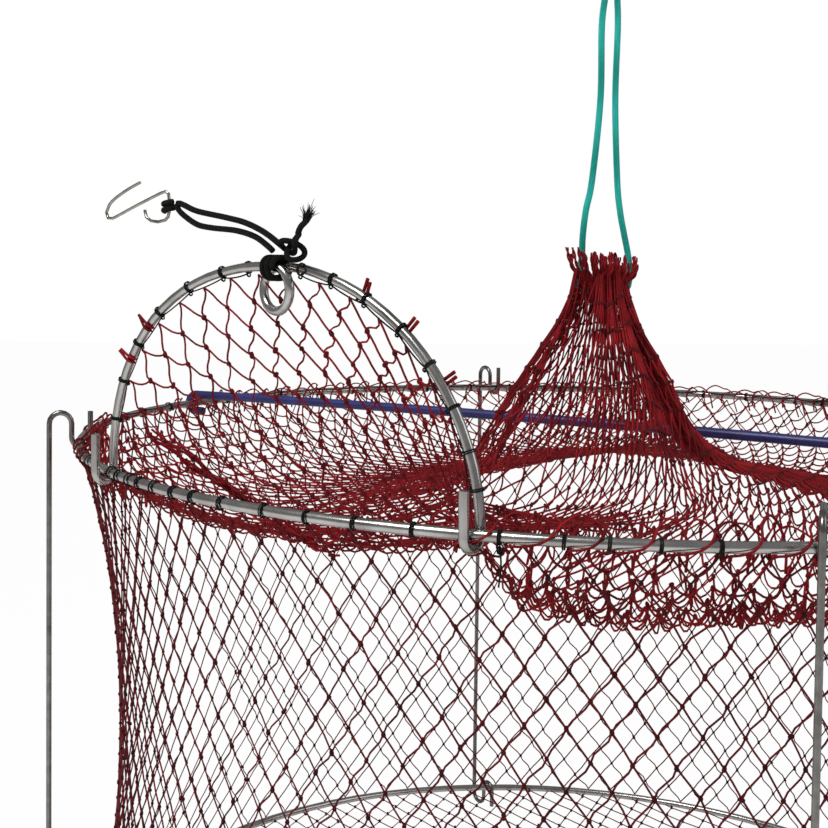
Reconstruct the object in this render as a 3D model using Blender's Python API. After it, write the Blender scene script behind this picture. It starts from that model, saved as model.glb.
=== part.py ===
# Fish trap: two rod rings held apart by four wire struts, walled and covered with knotted netting.
# The top net is drawn up to a neck by a cord, and an arched rod hoop opens its mouth over the near rim.
# Metres, +Z up, origin on the floor under the middle of the rings. X is to the right, Y is away.

import math

import bmesh
import bpy
import numpy as np
from mathutils import Matrix, Vector

# Clearance between pieces that touch, and the clearance of a sheet's edge from what holds it
GAP = 0.0003

# Rings
RING_RADIUS = 0.473
RING_ROD = 0.008
RING_SPACING = 0.520
RING_FACETS = 72

# Struts, as offsets from the ring's rod: outward along the hook, and up
STRUT_WIRE = 0.005
STRUT_OFFSET = 0.029
HOOK_SLACK = 0.002
CROWN_RISE = 0.0245
TOP_TIP_RISE = 0.026
FOOT_TIP_DROP = 0.0215
FOOT_WEAR = 0.0005
BACK_STRUT_ANGLE = 88.5
BACK_STRUT_TWIST = 27.0

# Hoop: an arch over the mouth, its legs hooked round the ring
HOOP_ROD = 0.007
HOOP_HALF_WIDTH = 0.178
HOOP_RISE = 0.165
HOOP_LEFT_FULLNESS = 2.25
HOOP_RIGHT_FULLNESS = 1.95
MOUTH_ANGLE = 223.6
HOOP_HOOK_RADIUS = 0.0092
HOOP_TAIL_RISE = 0.029
EYE_RADIUS = 0.016
EYE_SPREAD = 0.0076
EYE_LEAD = 0.045

# Blue bar across the top
BAR_CORE = 0.006
BAR_SLEEVE = 0.0095
BAR_LEFT_ANGLE = 141.0
BAR_RIGHT_ANGLE = -35.0
BAR_BOW = 0.0045
BAR_TIP_REACH = 0.010
BAR_END_DROP = 0.006
CORE_SHOWS = 0.0015

# Netting, as the thickness of the sheet that its twine fills
NET_THICKNESS = 0.002
NET_FACETS = 40
WALL_ROWS = 6
LACE_TWINE = 0.0014
LACE_TURNS = 1
LACE_POINTS = 8
WAIST_RADIUS = 0.436
WAIST_POWER = 2.2
FLOOR_SAG = 0.010
NECK_X = -0.018
NECK_Y = -0.100
NECK_RISE = 0.142
NECK_RADIUS = 0.017
TUFT_RISE = 0.170
CONE_RADIUS = 0.100
CONE_LEAN = 0.20
FRONT_SAG = 0.046
BACK_SAG = 0.010
BELLY_DEPTH = 0.055
BELLY_NEAR = 0.016
BELLY_DROP = 0.048
BELLY_LEFT_RISE = 0.033
BELLY_RIGHT_RISE = 0.047
BELLY_HALF_WIDTH = 0.160
BELLY_SHIFT = 0.005
BELLY_SEAM = 0.003

# Elastic, its hook, and the lifting cord
ELASTIC = 0.0045
HOOK_WIRE = 0.0025
LIFT_CORD = 0.0055
KNOT_SQUEEZE = 0.75

# Places worked out from those sizes
BOTTOM_Z = CROWN_RISE + STRUT_WIRE / 2 - FOOT_WEAR
TOP_Z = BOTTOM_Z + RING_SPACING
HINGE_CHORD = math.sqrt(RING_RADIUS**2 - HOOP_HALF_WIDTH**2)
HINGE_SPREAD = math.degrees(math.asin(HOOP_HALF_WIDTH / RING_RADIUS))


# Clear the startup scene.
for leftover in list(bpy.data.objects):
    bpy.data.objects.remove(leftover, do_unlink=True)


def make_material(name, colour, roughness, metallic=0.0):
    material = bpy.data.materials.new(name)
    material.use_nodes = True
    shader = material.node_tree.nodes["Principled BSDF"]
    shader.inputs["Base Color"].default_value = (*colour, 1.0)
    shader.inputs["Roughness"].default_value = roughness
    shader.inputs["Metallic"].default_value = metallic
    material.diffuse_color = (*colour, 1.0)
    return material


STEEL = make_material("galvanised_steel", (0.42, 0.42, 0.41), 0.38, 1.0)
RED_TWINE = make_material("red_twine", (0.25, 0.012, 0.016), 0.75)
BLACK_TWINE = make_material("black_twine", (0.015, 0.014, 0.013), 0.8)
BLUE_HOSE = make_material("blue_hose", (0.022, 0.026, 0.13), 0.45)
TEAL_CORD = make_material("teal_cord", (0.02, 0.38, 0.28), 0.6)
BLACK_ELASTIC = make_material("black_elastic", (0.012, 0.011, 0.009), 0.85)


def polar(radius, degrees, height):
    turn = math.radians(degrees)
    return Vector((radius * math.cos(turn), radius * math.sin(turn), height))


def ring_point(degrees, height):
    # A point on the ring's centreline, which is a polygon of RING_FACETS straight lengths.
    step = 360 / RING_FACETS
    first = math.floor(degrees / step) * step
    share = (degrees - first) / step
    return polar(RING_RADIUS, first, height).lerp(polar(RING_RADIUS, first + step, height), share)


def arc(centre, across, up, radius, start, end, steps):
    # Points of a circular arc in the plane of two unit vectors, from angle start to end in degrees.
    points = []
    for index in range(steps + 1):
        turn = math.radians(start + (end - start) * index / steps)
        points.append(centre + across * (radius * math.cos(turn)) + up * (radius * math.sin(turn)))
    return points


def smooth_through(points, spacing):
    # A Catmull-Rom curve through the points, read at about this spacing.
    points = [Vector(point) for point in points]
    padded = [2 * points[0] - points[1]] + points + [2 * points[-1] - points[-2]]
    found = [points[0]]
    for a, b, c, d in zip(padded, padded[1:], padded[2:], padded[3:]):
        steps = max(1, round((c - b).length / spacing))
        for index in range(1, steps + 1):
            t = index / steps
            found.append(
                0.5 * ((2 * b) + (c - a) * t + (2 * a - 5 * b + 4 * c - d) * t**2
                       + (3 * b - a - 3 * c + d) * t**3)
            )
    return found


def spaced_evenly(points, count):
    # The same line with its points at equal distances along it.
    lengths = [0.0]
    for first, second in zip(points, points[1:]):
        lengths.append(lengths[-1] + (second - first).length)
    wanted = np.linspace(0.0, lengths[-1], count)
    columns = [np.interp(wanted, lengths, [point[axis] for point in points]) for axis in range(3)]
    return [Vector(place) for place in zip(*columns)]


def place_object(name, data, material, parent):
    piece = bpy.data.objects.new(name, data)
    bpy.context.scene.collection.objects.link(piece)
    if material:
        data.materials.append(material)
    if parent:
        piece.parent = parent
        piece.matrix_parent_inverse = Matrix.Translation(parent.location).inverted()
    return piece


def make_joint(name, place):
    empty = bpy.data.objects.new(name, None)
    empty.location = place
    bpy.context.scene.collection.objects.link(empty)
    return empty


def bend_rod(name, points, diameter, material, parent=None, closed=False, resolution=2, capped=True):
    # A round bar along a line of points.
    line = bpy.data.curves.new(name, "CURVE")
    line.dimensions = "3D"
    line.bevel_depth = diameter / 2
    line.bevel_resolution = resolution
    line.use_fill_caps = capped and not closed
    spline = line.splines.new("POLY")
    spline.points.add(len(points) - 1)
    for spot, point in zip(spline.points, points):
        spot.co = (*point, 1.0)
    spline.use_cyclic_u = closed
    spline.use_smooth = True
    return place_object(name, line, material, parent)


def turn_into_mesh(piece):
    # Replaces a curve object with the mesh of the same shape, so that it can be cut.
    name = piece.name
    parent = piece.parent
    material = piece.data.materials[0]
    graph = bpy.context.evaluated_depsgraph_get()
    mesh = bpy.data.meshes.new_from_object(piece.evaluated_get(graph))
    bpy.data.objects.remove(piece, do_unlink=True)
    mesh.materials.clear()
    welded = bmesh.new()
    welded.from_mesh(mesh)
    bmesh.ops.remove_doubles(welded, verts=welded.verts, dist=1e-6)
    bmesh.ops.recalc_face_normals(welded, faces=welded.faces)
    welded.to_mesh(mesh)
    welded.free()
    mesh.shade_smooth()
    return place_object(name, mesh, material, parent)


def add_box(target, centre, across, up, size):
    # A box in a bmesh, with its own X along across and its own Z along up.
    across = across.normalized()
    up = up.normalized()
    turn = Matrix((across, up.cross(across), up)).transposed().to_4x4()
    bmesh.ops.create_cube(
        target, size=1.0, matrix=Matrix.Translation(centre) @ turn @ Matrix.Diagonal((*size, 1.0))
    )


def add_post(target, centre, radius, height):
    bmesh.ops.create_cone(
        target, cap_ends=True, segments=16, radius1=radius, radius2=radius, depth=height,
        matrix=Matrix.Translation(centre),
    )


def cut_away(piece, cutter_mesh):
    # Takes the cutter's shape out of the piece with a Boolean modifier.
    mesh = bpy.data.meshes.new(piece.name + "_cutter")
    bmesh.ops.recalc_face_normals(cutter_mesh, faces=cutter_mesh.faces)
    cutter_mesh.to_mesh(mesh)
    cutter_mesh.free()
    cutter = place_object(piece.name + "_cutter", mesh, None, None)
    cutter.hide_render = True
    cutter.display_type = "WIRE"
    cut = piece.modifiers.new("notches", "BOOLEAN")
    cut.operation = "DIFFERENCE"
    cut.solver = "EXACT"
    cut.object = cutter
    return piece


def loft_sheet(name, rows, material, parent=None, closed=True, pole=None):
    # A thin sheet through rows of points; closed rows run round, and a pole closes the first row.
    sheet = bmesh.new()
    laid = [[sheet.verts.new(point) for point in row] for row in rows]
    for first, second in zip(laid, laid[1:]):
        last = len(first) if closed else len(first) - 1
        for index in range(last):
            after = (index + 1) % len(first)
            sheet.faces.new((first[index], first[after], second[after], second[index]))
    if pole:
        tip = sheet.verts.new(pole)
        for index in range(len(laid[0])):
            sheet.faces.new((tip, laid[0][(index + 1) % len(laid[0])], laid[0][index]))
    mesh = bpy.data.meshes.new(name)
    sheet.to_mesh(mesh)
    sheet.free()
    mesh.shade_smooth()
    piece = place_object(name, mesh, material, parent)
    shell = piece.modifiers.new("thickness", "SOLIDIFY")
    shell.thickness = NET_THICKNESS
    shell.offset = 0.0
    shell.use_even_offset = True
    return piece


# The mouth's own directions: along the chord from the left hinge to the right one, and inward.
mouth_out = polar(1.0, MOUTH_ANGLE, 0.0)
mouth_in = -mouth_out
mouth_along = polar(1.0, MOUTH_ANGLE + 90, 0.0)
mouth_middle = mouth_out * HINGE_CHORD + Vector((0, 0, TOP_Z))
UP = Vector((0, 0, 1))


def mouth_point(along, inward, rise):
    return mouth_middle + mouth_along * along + mouth_in * inward + UP * rise


# Joint places
top_frame = make_joint("top_frame_joint", Vector((0, 0, TOP_Z)))
door = make_joint("door_joint", mouth_middle)
bar_left = polar(RING_RADIUS, BAR_LEFT_ANGLE, TOP_Z)
spreader = make_joint("spreader_joint", bar_left)


# Rings
def make_ring(name, height, parent):
    points = [polar(RING_RADIUS, 360 * index / RING_FACETS, height) for index in range(RING_FACETS)]
    return bend_rod(name, points, RING_ROD, STEEL, parent, closed=True)


make_ring("bottom_ring", BOTTOM_Z, None)
make_ring("top_ring", TOP_Z, top_frame)


# Struts
hook_radius = RING_ROD / 2 + STRUT_WIRE / 2 + HOOK_SLACK
hook_lift = HOOK_SLACK - GAP
crown_radius = (STRUT_OFFSET - hook_radius) / 2
crown_height = CROWN_RISE - crown_radius


def strut_hook(angle, twist, ring_height, side, tip):
    # The S at one end, from the main rod to the tip inside the ring; side is 1 at the top ring.
    middle = ring_point(angle, ring_height)
    outward = polar(1.0, angle + twist, 0.0)
    rise = UP * side
    crown_middle = middle + outward * (hook_radius + crown_radius) + rise * crown_height
    points = arc(crown_middle, outward, rise, crown_radius, 0, 180, 8)
    points += arc(middle + rise * hook_lift, outward, rise, hook_radius, 0, -180, 10)
    points.append(middle - outward * hook_radius + rise * tip)
    return points


def make_strut(name, angle, twist):
    upper = strut_hook(angle, twist, TOP_Z, 1, TOP_TIP_RISE)
    lower = strut_hook(angle, twist, BOTTOM_Z, -1, FOOT_TIP_DROP)
    rod = turn_into_mesh(bend_rod(name, upper[::-1] + lower, STRUT_WIRE, STEEL))
    floor = bmesh.new()
    foot = polar(RING_RADIUS + STRUT_OFFSET, angle, -CROWN_RISE / 2)
    add_box(floor, foot, Vector((1, 0, 0)), UP, (0.12, 0.12, CROWN_RISE))
    return cut_away(rod, floor)


make_strut("strut_left", 180.0, 0.0)
make_strut("strut_right", 0.0, 0.0)
make_strut("strut_back", BACK_STRUT_ANGLE, BACK_STRUT_TWIST)
make_strut("strut_front", -BACK_STRUT_ANGLE, -BACK_STRUT_TWIST)
STRUT_ANGLES = (180.0, 0.0, BACK_STRUT_ANGLE, -BACK_STRUT_ANGLE)


# Hoop
def arch_point(turn):
    # A point of the arch at turn radians from its right foot, fuller on its left shoulder.
    fullness = HOOP_RIGHT_FULLNESS if math.cos(turn) > 0 else HOOP_LEFT_FULLNESS
    along = math.copysign(abs(math.cos(turn)) ** (2 / fullness), math.cos(turn)) * HOOP_HALF_WIDTH
    return along, abs(math.sin(turn)) ** (2 / fullness) * HOOP_RISE


def arch_line(count, inset=0.0):
    # The arch from its left foot to its right foot, at equal distances.
    flat = []
    for index in range(361):
        along, rise = arch_point(math.pi * (1 - index / 360))
        flat.append(Vector((along, 0.0, rise)))
    line = spaced_evenly(flat, count)
    if not inset:
        return line
    moved = []
    for index, point in enumerate(line):
        before = line[max(index - 1, 0)]
        after = line[min(index + 1, count - 1)]
        heading = (after - before).normalized()
        moved.append(point + Vector((heading.z, 0.0, -heading.x)) * inset)
    return moved


def hoop_foot(side):
    # The J round the ring, from the leg inside it to the tail outside it.
    centre = mouth_point(side * HOOP_HALF_WIDTH, 0.0, 0.0)
    points = arc(centre, mouth_in, UP, HOOP_HOOK_RADIUS, 0, -180, 10)
    return points + [centre - mouth_in * HOOP_HOOK_RADIUS + UP * HOOP_TAIL_RISE]


def eye_shift(along):
    # How far the two crossing parts of the eye stand apart beside it.
    share = max(0.0, min(1.0, (EYE_LEAD - abs(along)) / (EYE_LEAD - EYE_RADIUS * 1.3)))
    return EYE_SPREAD / 2 * share * share * (3 - 2 * share)


def make_hoop():
    plane = HOOP_HOOK_RADIUS
    line = arch_line(41)
    middle = len(line) // 2
    left = [mouth_point(p.x, plane - eye_shift(p.x), p.z) for p in line[1:middle]]
    right = [mouth_point(p.x, plane + eye_shift(p.x), p.z) for p in line[middle + 1:-1]]
    eye = []
    for index in range(25):
        share = index / 24
        turn = math.radians(90 - 360 * share)
        ramp = max(0.0, min(1.0, (share - 0.2) / 0.6))
        shift = EYE_SPREAD * (ramp * ramp * (3 - 2 * ramp) - 0.5)
        eye.append(mouth_point(
            EYE_RADIUS * math.cos(turn), plane + shift, HOOP_RISE - EYE_RADIUS + EYE_RADIUS * math.sin(turn)
        ))
    points = hoop_foot(-1)[::-1] + left + eye + right + hoop_foot(1)
    return bend_rod("door_hoop", points, HOOP_ROD, STEEL, door)


make_hoop()


# Blue bar
bar_right = polar(RING_RADIUS, BAR_RIGHT_ANGLE, TOP_Z)
bar_heading = (bar_right - bar_left).normalized()
bar_side = Vector((bar_heading.y, -bar_heading.x, 0.0))
bar_rest = RING_ROD / 2 + BAR_SLEEVE / 2 + GAP


def bar_line(tip_reach, end_drop):
    # From the tip under the ring, round it and across the top to the hook that drops over the far side.
    hooked = arc(bar_left, -bar_heading, UP, bar_rest + 0.0001, -90, 90, 12)
    tip = [hooked[0] + bar_heading * tip_reach]
    span = []
    for index in range(1, 12):
        share = index / 12
        rise = bar_rest + BAR_BOW * 4 * share * (1 - share)
        span.append(bar_left.lerp(bar_right, share) + UP * rise)
    dropped = arc(bar_right, bar_heading, UP, bar_rest + 0.0001, 90, 0, 6)
    return tip + hooked + span + dropped + [dropped[-1] - UP * end_drop]


def make_sleeve():
    hose = turn_into_mesh(
        bend_rod("spreader_sleeve", bar_line(BAR_TIP_REACH, BAR_END_DROP), BAR_SLEEVE, BLUE_HOSE,
                 spreader, capped=False)
    )
    wall = hose.modifiers.new("wall", "SOLIDIFY")
    wall.thickness = (BAR_SLEEVE - BAR_CORE) / 2 - GAP
    wall.offset = -1.0
    wall.use_even_offset = True
    return hose


make_sleeve()
bend_rod(
    "spreader_core", bar_line(BAR_TIP_REACH + CORE_SHOWS, BAR_END_DROP + CORE_SHOWS), BAR_CORE, STEEL, spreader
)


# Lacing
def ring_frame(degrees):
    return ring_point(degrees, TOP_Z), -polar(1.0, degrees, 0.0), UP


def rod_reach(rod):
    # How far the middle of a wrapped twine lies from the middle of the rod.
    return (rod / 2 + GAP + LACE_TWINE / 2) / math.cos(math.pi / LACE_POINTS)


def make_ring_lacing(name, first, last, count):
    # One twine that wraps the ring in LACE_TURNS turns at each place and runs along its inside between.
    advance = math.degrees(LACE_TWINE * 2.2 / RING_RADIUS)
    reach = rod_reach(RING_ROD)
    points = []

    def lay(degrees, turns):
        centre, inward, up = ring_frame(degrees)
        turn = math.radians(45 + 360 * turns)
        points.append(centre + inward * (reach * math.cos(turn)) + up * (reach * math.sin(turn)))

    spacing = (last - first) / (count - 1)
    run = spacing - LACE_TURNS * advance
    for place in range(count):
        start = first + spacing * place
        for index in range(LACE_TURNS * LACE_POINTS + 1):
            lay(start + advance * index / LACE_POINTS, index / LACE_POINTS)
        stops = int(run * RING_FACETS / 360) + 1 if place < count - 1 else 0
        for index in range(stops):
            lay(start + LACE_TURNS * advance + run * (index + 1) / (stops + 1), 0)
    return bend_rod(name, points, LACE_TWINE, BLACK_TWINE, top_frame, resolution=0)


left_hinge = MOUTH_ANGLE - HINGE_SPREAD
right_hinge = MOUTH_ANGLE + HINGE_SPREAD
HOOK_CLEAR = math.degrees(0.022 / RING_RADIUS)
make_ring_lacing("mouth_lacing", left_hinge + HOOK_CLEAR, right_hinge - HOOK_CLEAR - 0.8, 10)
make_ring_lacing("rim_lacing", right_hinge + HOOK_CLEAR, 360 - BACK_STRUT_ANGLE - HOOK_CLEAR - 0.8, 7)

ring_edge = rod_reach(RING_ROD) + LACE_TWINE / 2 + GAP
hoop_edge = rod_reach(HOOP_ROD) + LACE_TWINE / 2 + GAP


# Side net: a waisted wall between the rings
def wall_radius(height):
    middle = (TOP_Z + BOTTOM_Z) / 2
    share = abs(height - middle) / (RING_SPACING / 2)
    return WAIST_RADIUS + (RING_RADIUS - WAIST_RADIUS) * share**WAIST_POWER


def make_side_net():
    top = TOP_Z - ring_edge
    foot = BOTTOM_Z + RING_ROD / 2 + GAP
    rows = []
    for index in range(WALL_ROWS + 1):
        height = top + (foot - top) * (0.5 - 0.5 * math.cos(math.pi * index / WALL_ROWS))
        rows.append([polar(wall_radius(height), 360 * place / NET_FACETS, height) for place in range(NET_FACETS)])
    wall = loft_sheet("side_net", rows[::-1], RED_TWINE)
    notches = bmesh.new()
    hook_bottom = hook_radius - hook_lift + STRUT_WIRE / 2
    for angle in STRUT_ANGLES:
        for height, side in ((TOP_Z, -1), (BOTTOM_Z, 1)):
            depth = 2 * (hook_bottom + 4 * GAP)
            add_box(notches, polar(RING_RADIUS, angle, height), polar(1.0, angle, 0.0), UP, (0.04, 0.018, depth))
    for side in (-1, 1):
        centre = mouth_point(side * HOOP_HALF_WIDTH, 0.0, 0.0)
        add_box(notches, centre, mouth_in, UP, (0.05, 0.018, 0.036))
    add_box(notches, bar_left, bar_heading, UP, (0.05, BAR_SLEEVE + 0.006, 0.033))
    return cut_away(wall, notches)


make_side_net()


# Floor net: a slack disc inside the bottom ring
def make_floor_net():
    edge = RING_RADIUS - RING_ROD / 2 - 3 * GAP
    rows = []
    for share in (0.4, 0.8, 1.0):
        height = BOTTOM_Z - FLOOR_SAG * (1 - share**2)
        rows.append([polar(edge * share, 360 * place / NET_FACETS, height) for place in range(NET_FACETS)])
    disc = loft_sheet("bottom_net", rows, RED_TWINE, pole=Vector((0, 0, BOTTOM_Z - FLOOR_SAG)))
    notches = bmesh.new()
    for angle in STRUT_ANGLES:
        centre = ring_point(angle, BOTTOM_Z) - polar(hook_radius, angle, 0.0)
        add_box(notches, centre, polar(1.0, angle, 0.0), UP, (0.018, 0.018, 0.03))
    return cut_away(disc, notches)


make_floor_net()


# The belly: the line where the top net sags between the feet of the hoop
def belly_point(share, back=0.0):
    # share runs from -1 at the left foot to 1 at the right foot; back moves it away from the mouth.
    left = share < 0
    rise = (BELLY_LEFT_RISE if left else BELLY_RIGHT_RISE) + BELLY_DROP
    height = rise * abs(share) ** (2.0 if left else 1.6) - BELLY_DROP
    inward = BELLY_NEAR + BELLY_DEPTH * (1 - abs(share) ** 3)
    return mouth_point(BELLY_SHIFT + BELLY_HALF_WIDTH * share, inward + back, height)


# Top net: from the neck down a cone to the ring, and to the belly at the mouth
def cone_height(distance, lean):
    radii = [NECK_RADIUS, 0.022, 0.040, 0.059, 0.080, CONE_RADIUS]
    rises = [NECK_RISE, 0.129, 0.100, 0.070, 0.034, 0.006]
    return float(np.interp(distance / lean, radii, rises))


def top_edge():
    # The outer edge of the top net: round the ring, then along the belly.
    edge = []
    first = right_hinge + 2.6
    last = left_hinge + 360 - 2.6
    for index in range(31):
        degrees = first + (last - first) * index / 30
        place = polar(RING_RADIUS - ring_edge, degrees, TOP_Z - 0.002)
        front = max(0.0, 1 - abs((degrees - 285) / 60)) ** 0.5
        edge.append((place, BACK_SAG + (FRONT_SAG - BACK_SAG) * front, 1.2 + 2.3 * front))
    for index in range(11):
        edge.append((belly_point(-1 + 2 * index / 10), 0.0, 1.0))
    return edge


def make_top_net():
    neck = Vector((NECK_X, NECK_Y, TOP_Z))
    edge = top_edge()
    rows = []
    for radius, rise in ((0.011, TUFT_RISE - 0.003), (0.0185, 0.158), (NECK_RADIUS, NECK_RISE)):
        row = []
        for place, _, _ in edge:
            heading = Vector((place.x - neck.x, place.y - neck.y, 0)).normalized()
            row.append(neck + heading * radius + UP * rise)
        rows.append(row)
    for distance in (0.024, 0.045, 0.070, CONE_RADIUS):
        row = []
        for place, _, _ in edge:
            heading = Vector((place.x - neck.x, place.y - neck.y, 0)).normalized()
            lean = 1 - CONE_LEAN * heading.x
            row.append(neck + heading * (distance * lean) + UP * cone_height(distance, 1.0))
        rows.append(row)
    for share in (0.3, 0.55, 0.75, 0.9, 1.0):
        row = []
        for place, sag, skew in edge:
            away = Vector((place.x - neck.x, place.y - neck.y, 0))
            heading = away.normalized()
            start = CONE_RADIUS * (1 - CONE_LEAN * heading.x)
            distance = start + (away.length - start) * share
            base = cone_height(CONE_RADIUS, 1.0)
            rise = base + (place.z - TOP_Z - base) * share**1.5 - sag * math.sin(math.pi * share**skew)
            row.append(neck + heading * distance + UP * rise)
        rows.append(row)
    net = loft_sheet("top_net", rows, RED_TWINE, top_frame, pole=neck + UP * TUFT_RISE)
    notches = bmesh.new()
    for angle in STRUT_ANGLES:
        centre = ring_point(angle, TOP_Z) - polar(hook_radius, angle, 0.0)
        add_box(notches, centre, polar(1.0, angle, 0.0), UP, (0.018, 0.018, 0.08))
    for side in (-1, 1):
        add_post(notches, mouth_point(side * HOOP_HALF_WIDTH, 0.0, 0.0), 0.018, 0.06)
    add_box(notches, bar_left + bar_heading * 0.012, bar_heading, UP, (0.030, BAR_SLEEVE + 0.006, 0.05))
    return cut_away(net, notches)


make_top_net()


# Door net: from the hoop down to the belly
def make_door_net():
    plane = HOOP_HOOK_RADIUS
    arch = arch_line(33, hoop_edge)[3:-3]
    rows = []
    for step in range(5):
        share = step / 4
        row = []
        for index, point in enumerate(arch):
            along = -1 + 2 * index / (len(arch) - 1)
            high = mouth_point(point.x, plane, point.z)
            low = belly_point(along * 0.985, -BELLY_SEAM) + UP * BELLY_SEAM
            row.append(high.lerp(low, share))
        rows.append(row)
    net = loft_sheet("door_net", rows, RED_TWINE, door, closed=False)
    notches = bmesh.new()
    eye = mouth_point(0.0, plane, HOOP_RISE - EYE_RADIUS)
    reach = 2 * (EYE_RADIUS + HOOP_ROD / 2 + GAP * 4)
    add_box(notches, eye, mouth_along, UP, (reach, 0.03, reach))
    return cut_away(net, notches)


make_door_net()


# Elastic, from its wrap round the hoop's crown out to the hook and back
elastic_plane = HOOP_HOOK_RADIUS
hitch_along = -0.1135
hitch_rise = 0.209
HITCH_TURNS = 1.5
hitch_radius = HOOK_WIRE / 2 + ELASTIC / 2 + 2 * GAP
hitch_pitch = ELASTIC + GAP
hook_joint = make_joint("hook_joint", mouth_point(hitch_along, elastic_plane, hitch_rise))
hook_joint.parent = door
hook_joint.matrix_parent_inverse = Matrix.Translation(door.location).inverted()


def in_hoop_plane(places):
    return [mouth_point(along, elastic_plane, rise) for along, rise in places]


def make_hitch():
    # A short coil of the elastic round the upright of the hook.
    points = []
    for index in range(int(HITCH_TURNS * 12) + 1):
        turn = math.radians(180 + 30 * index)
        rise = hitch_rise + hitch_pitch * (index / 12 - HITCH_TURNS / 2)
        points.append(mouth_point(
            hitch_along + hitch_radius * math.cos(turn), elastic_plane + hitch_radius * math.sin(turn), rise
        ))
    return bend_rod("elastic_hitch", points, ELASTIC, BLACK_ELASTIC, door)


def make_wire_hook():
    line = smooth_through(
        in_hoop_plane([
            (-0.1415, 0.2065), (-0.1395, 0.2010), (-0.1340, 0.1980), (-0.1260, 0.1972), (-0.1180, 0.1985),
            (-0.1145, 0.2010), (-0.1135, 0.2045), (-0.1135, 0.2090), (-0.1135, 0.2145), (-0.1142, 0.2185),
            (-0.1175, 0.2205), (-0.1230, 0.2193), (-0.1500, 0.2105), (-0.1800, 0.2002), (-0.1855, 0.2005),
            (-0.1875, 0.2050), (-0.1840, 0.2110), (-0.1760, 0.2165), (-0.1600, 0.2235), (-0.1470, 0.2280),
        ]),
        0.0060,
    )
    return bend_rod("wire_hook", line, HOOK_WIRE, STEEL, hook_joint)


def make_elastic():
    bight = hitch_along + hitch_radius + ELASTIC / 2 + GAP + ELASTIC / 2 + GAP
    line = smooth_through(
        in_hoop_plane([
            (0.0050, 0.1795), (-0.0120, 0.1890), (-0.0310, 0.1960), (-0.0510, 0.2000), (-0.0820, 0.2050),
            (-0.0960, 0.2095), (bight + 0.0010, 0.2115), (bight, 0.2090), (bight + 0.0015, 0.2062),
            (-0.0960, 0.2015), (-0.0820, 0.1950), (-0.0660, 0.1925), (-0.0410, 0.1905), (-0.0220, 0.1862),
            (-0.0090, 0.1795), (-0.0040, 0.1760),
        ]),
        0.0090,
    )
    return bend_rod("elastic_cord", line, ELASTIC, BLACK_ELASTIC, door)


def make_wrap():
    # Turns of the elastic round both crossing rods of the eye.
    half_depth = EYE_SPREAD / 2 + HOOP_ROD / 2 + ELASTIC / 2 + 3 * GAP
    half_height = HOOP_ROD / 2 + ELASTIC / 2 + 0.0016
    points = []
    for index in range(41):
        turn = 2 * math.pi * index / 16
        across = math.copysign(abs(math.cos(turn)) ** 0.8, math.cos(turn)) * half_depth
        rise = math.copysign(abs(math.sin(turn)) ** 0.8, math.sin(turn)) * half_height
        along = -0.0065 + (ELASTIC + GAP) * index / 16
        points.append(mouth_point(along, elastic_plane + across, HOOP_RISE - 0.0010 + rise))
    return bend_rod("elastic_wrap", points, ELASTIC, BLACK_ELASTIC, door)


# Nearest approach of a trefoil's strands, in units of its size, when it is TREFOIL_DEPTH deep
TREFOIL_DEPTH = 1.5
TREFOIL_ROOM = 1.47


def trefoil(centre, across, up, out, size, steps=24):
    # The closed form of an overhand knot, with one lobe pointing against across.
    points = []
    for index in range(steps):
        turn = 2 * math.pi * index / steps
        points.append(
            centre
            + across * (size * (math.cos(turn) - 2 * math.cos(2 * turn)))
            + up * (size * (math.sin(turn) + 2 * math.sin(2 * turn)))
            + out * (size * TREFOIL_DEPTH * math.sin(3 * turn))
        )
    return points


def knot_size(cord):
    # The smallest size at which a trefoil of this cord clears itself.
    return (cord + 2 * GAP) / TREFOIL_ROOM


def make_elastic_knot():
    centre = mouth_point(0.0154, elastic_plane, 0.1790)
    points = trefoil(centre, mouth_along, UP, mouth_in, knot_size(ELASTIC * KNOT_SQUEEZE))
    return bend_rod("elastic_knot", points, ELASTIC * KNOT_SQUEEZE, BLACK_ELASTIC, door, closed=True)


make_hitch()
make_wire_hook()
make_elastic()
make_wrap()
make_elastic_knot()
bend_rod(
    "elastic_tail",
    smooth_through(in_hoop_plane([(0.0200, 0.1882), (0.0225, 0.1930), (0.0290, 0.1985), (0.0300, 0.2030)]), 0.004),
    ELASTIC, BLACK_ELASTIC, door,
)


# Lifting cord, in the upright plane through the neck
def over_neck(x, away, rise):
    return Vector((x, NECK_Y + away, TOP_Z + rise))


def make_lift_cord():
    line = smooth_through(
        [
            over_neck(-0.0195, 0.0, 0.396), over_neck(-0.0220, 0.0, 0.369), over_neck(-0.0220, 0.0, 0.308),
            over_neck(-0.0280, 0.0, 0.239), over_neck(-0.0330, 0.0, 0.212), over_neck(-0.0345, 0.004, 0.190),
            over_neck(-0.0410, 0.008, 0.170), over_neck(-0.0420, 0.010, 0.152), over_neck(-0.0340, 0.0165, 0.144),
            over_neck(-0.0180, 0.0222, 0.142), over_neck(-0.0010, 0.0165, 0.142), over_neck(0.0060, 0.006, 0.145),
            over_neck(0.0065, 0.0, 0.156), over_neck(0.0050, 0.0, 0.173), over_neck(0.0010, 0.0, 0.192),
            over_neck(-0.0030, 0.0, 0.212), over_neck(-0.0060, 0.0, 0.239), over_neck(-0.0090, 0.0, 0.307),
            over_neck(-0.0080, 0.0, 0.369), over_neck(-0.0090, 0.0, 0.396),
        ],
        0.0165,
    )
    return bend_rod("lift_cord", line, LIFT_CORD, TEAL_CORD, top_frame)


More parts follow.
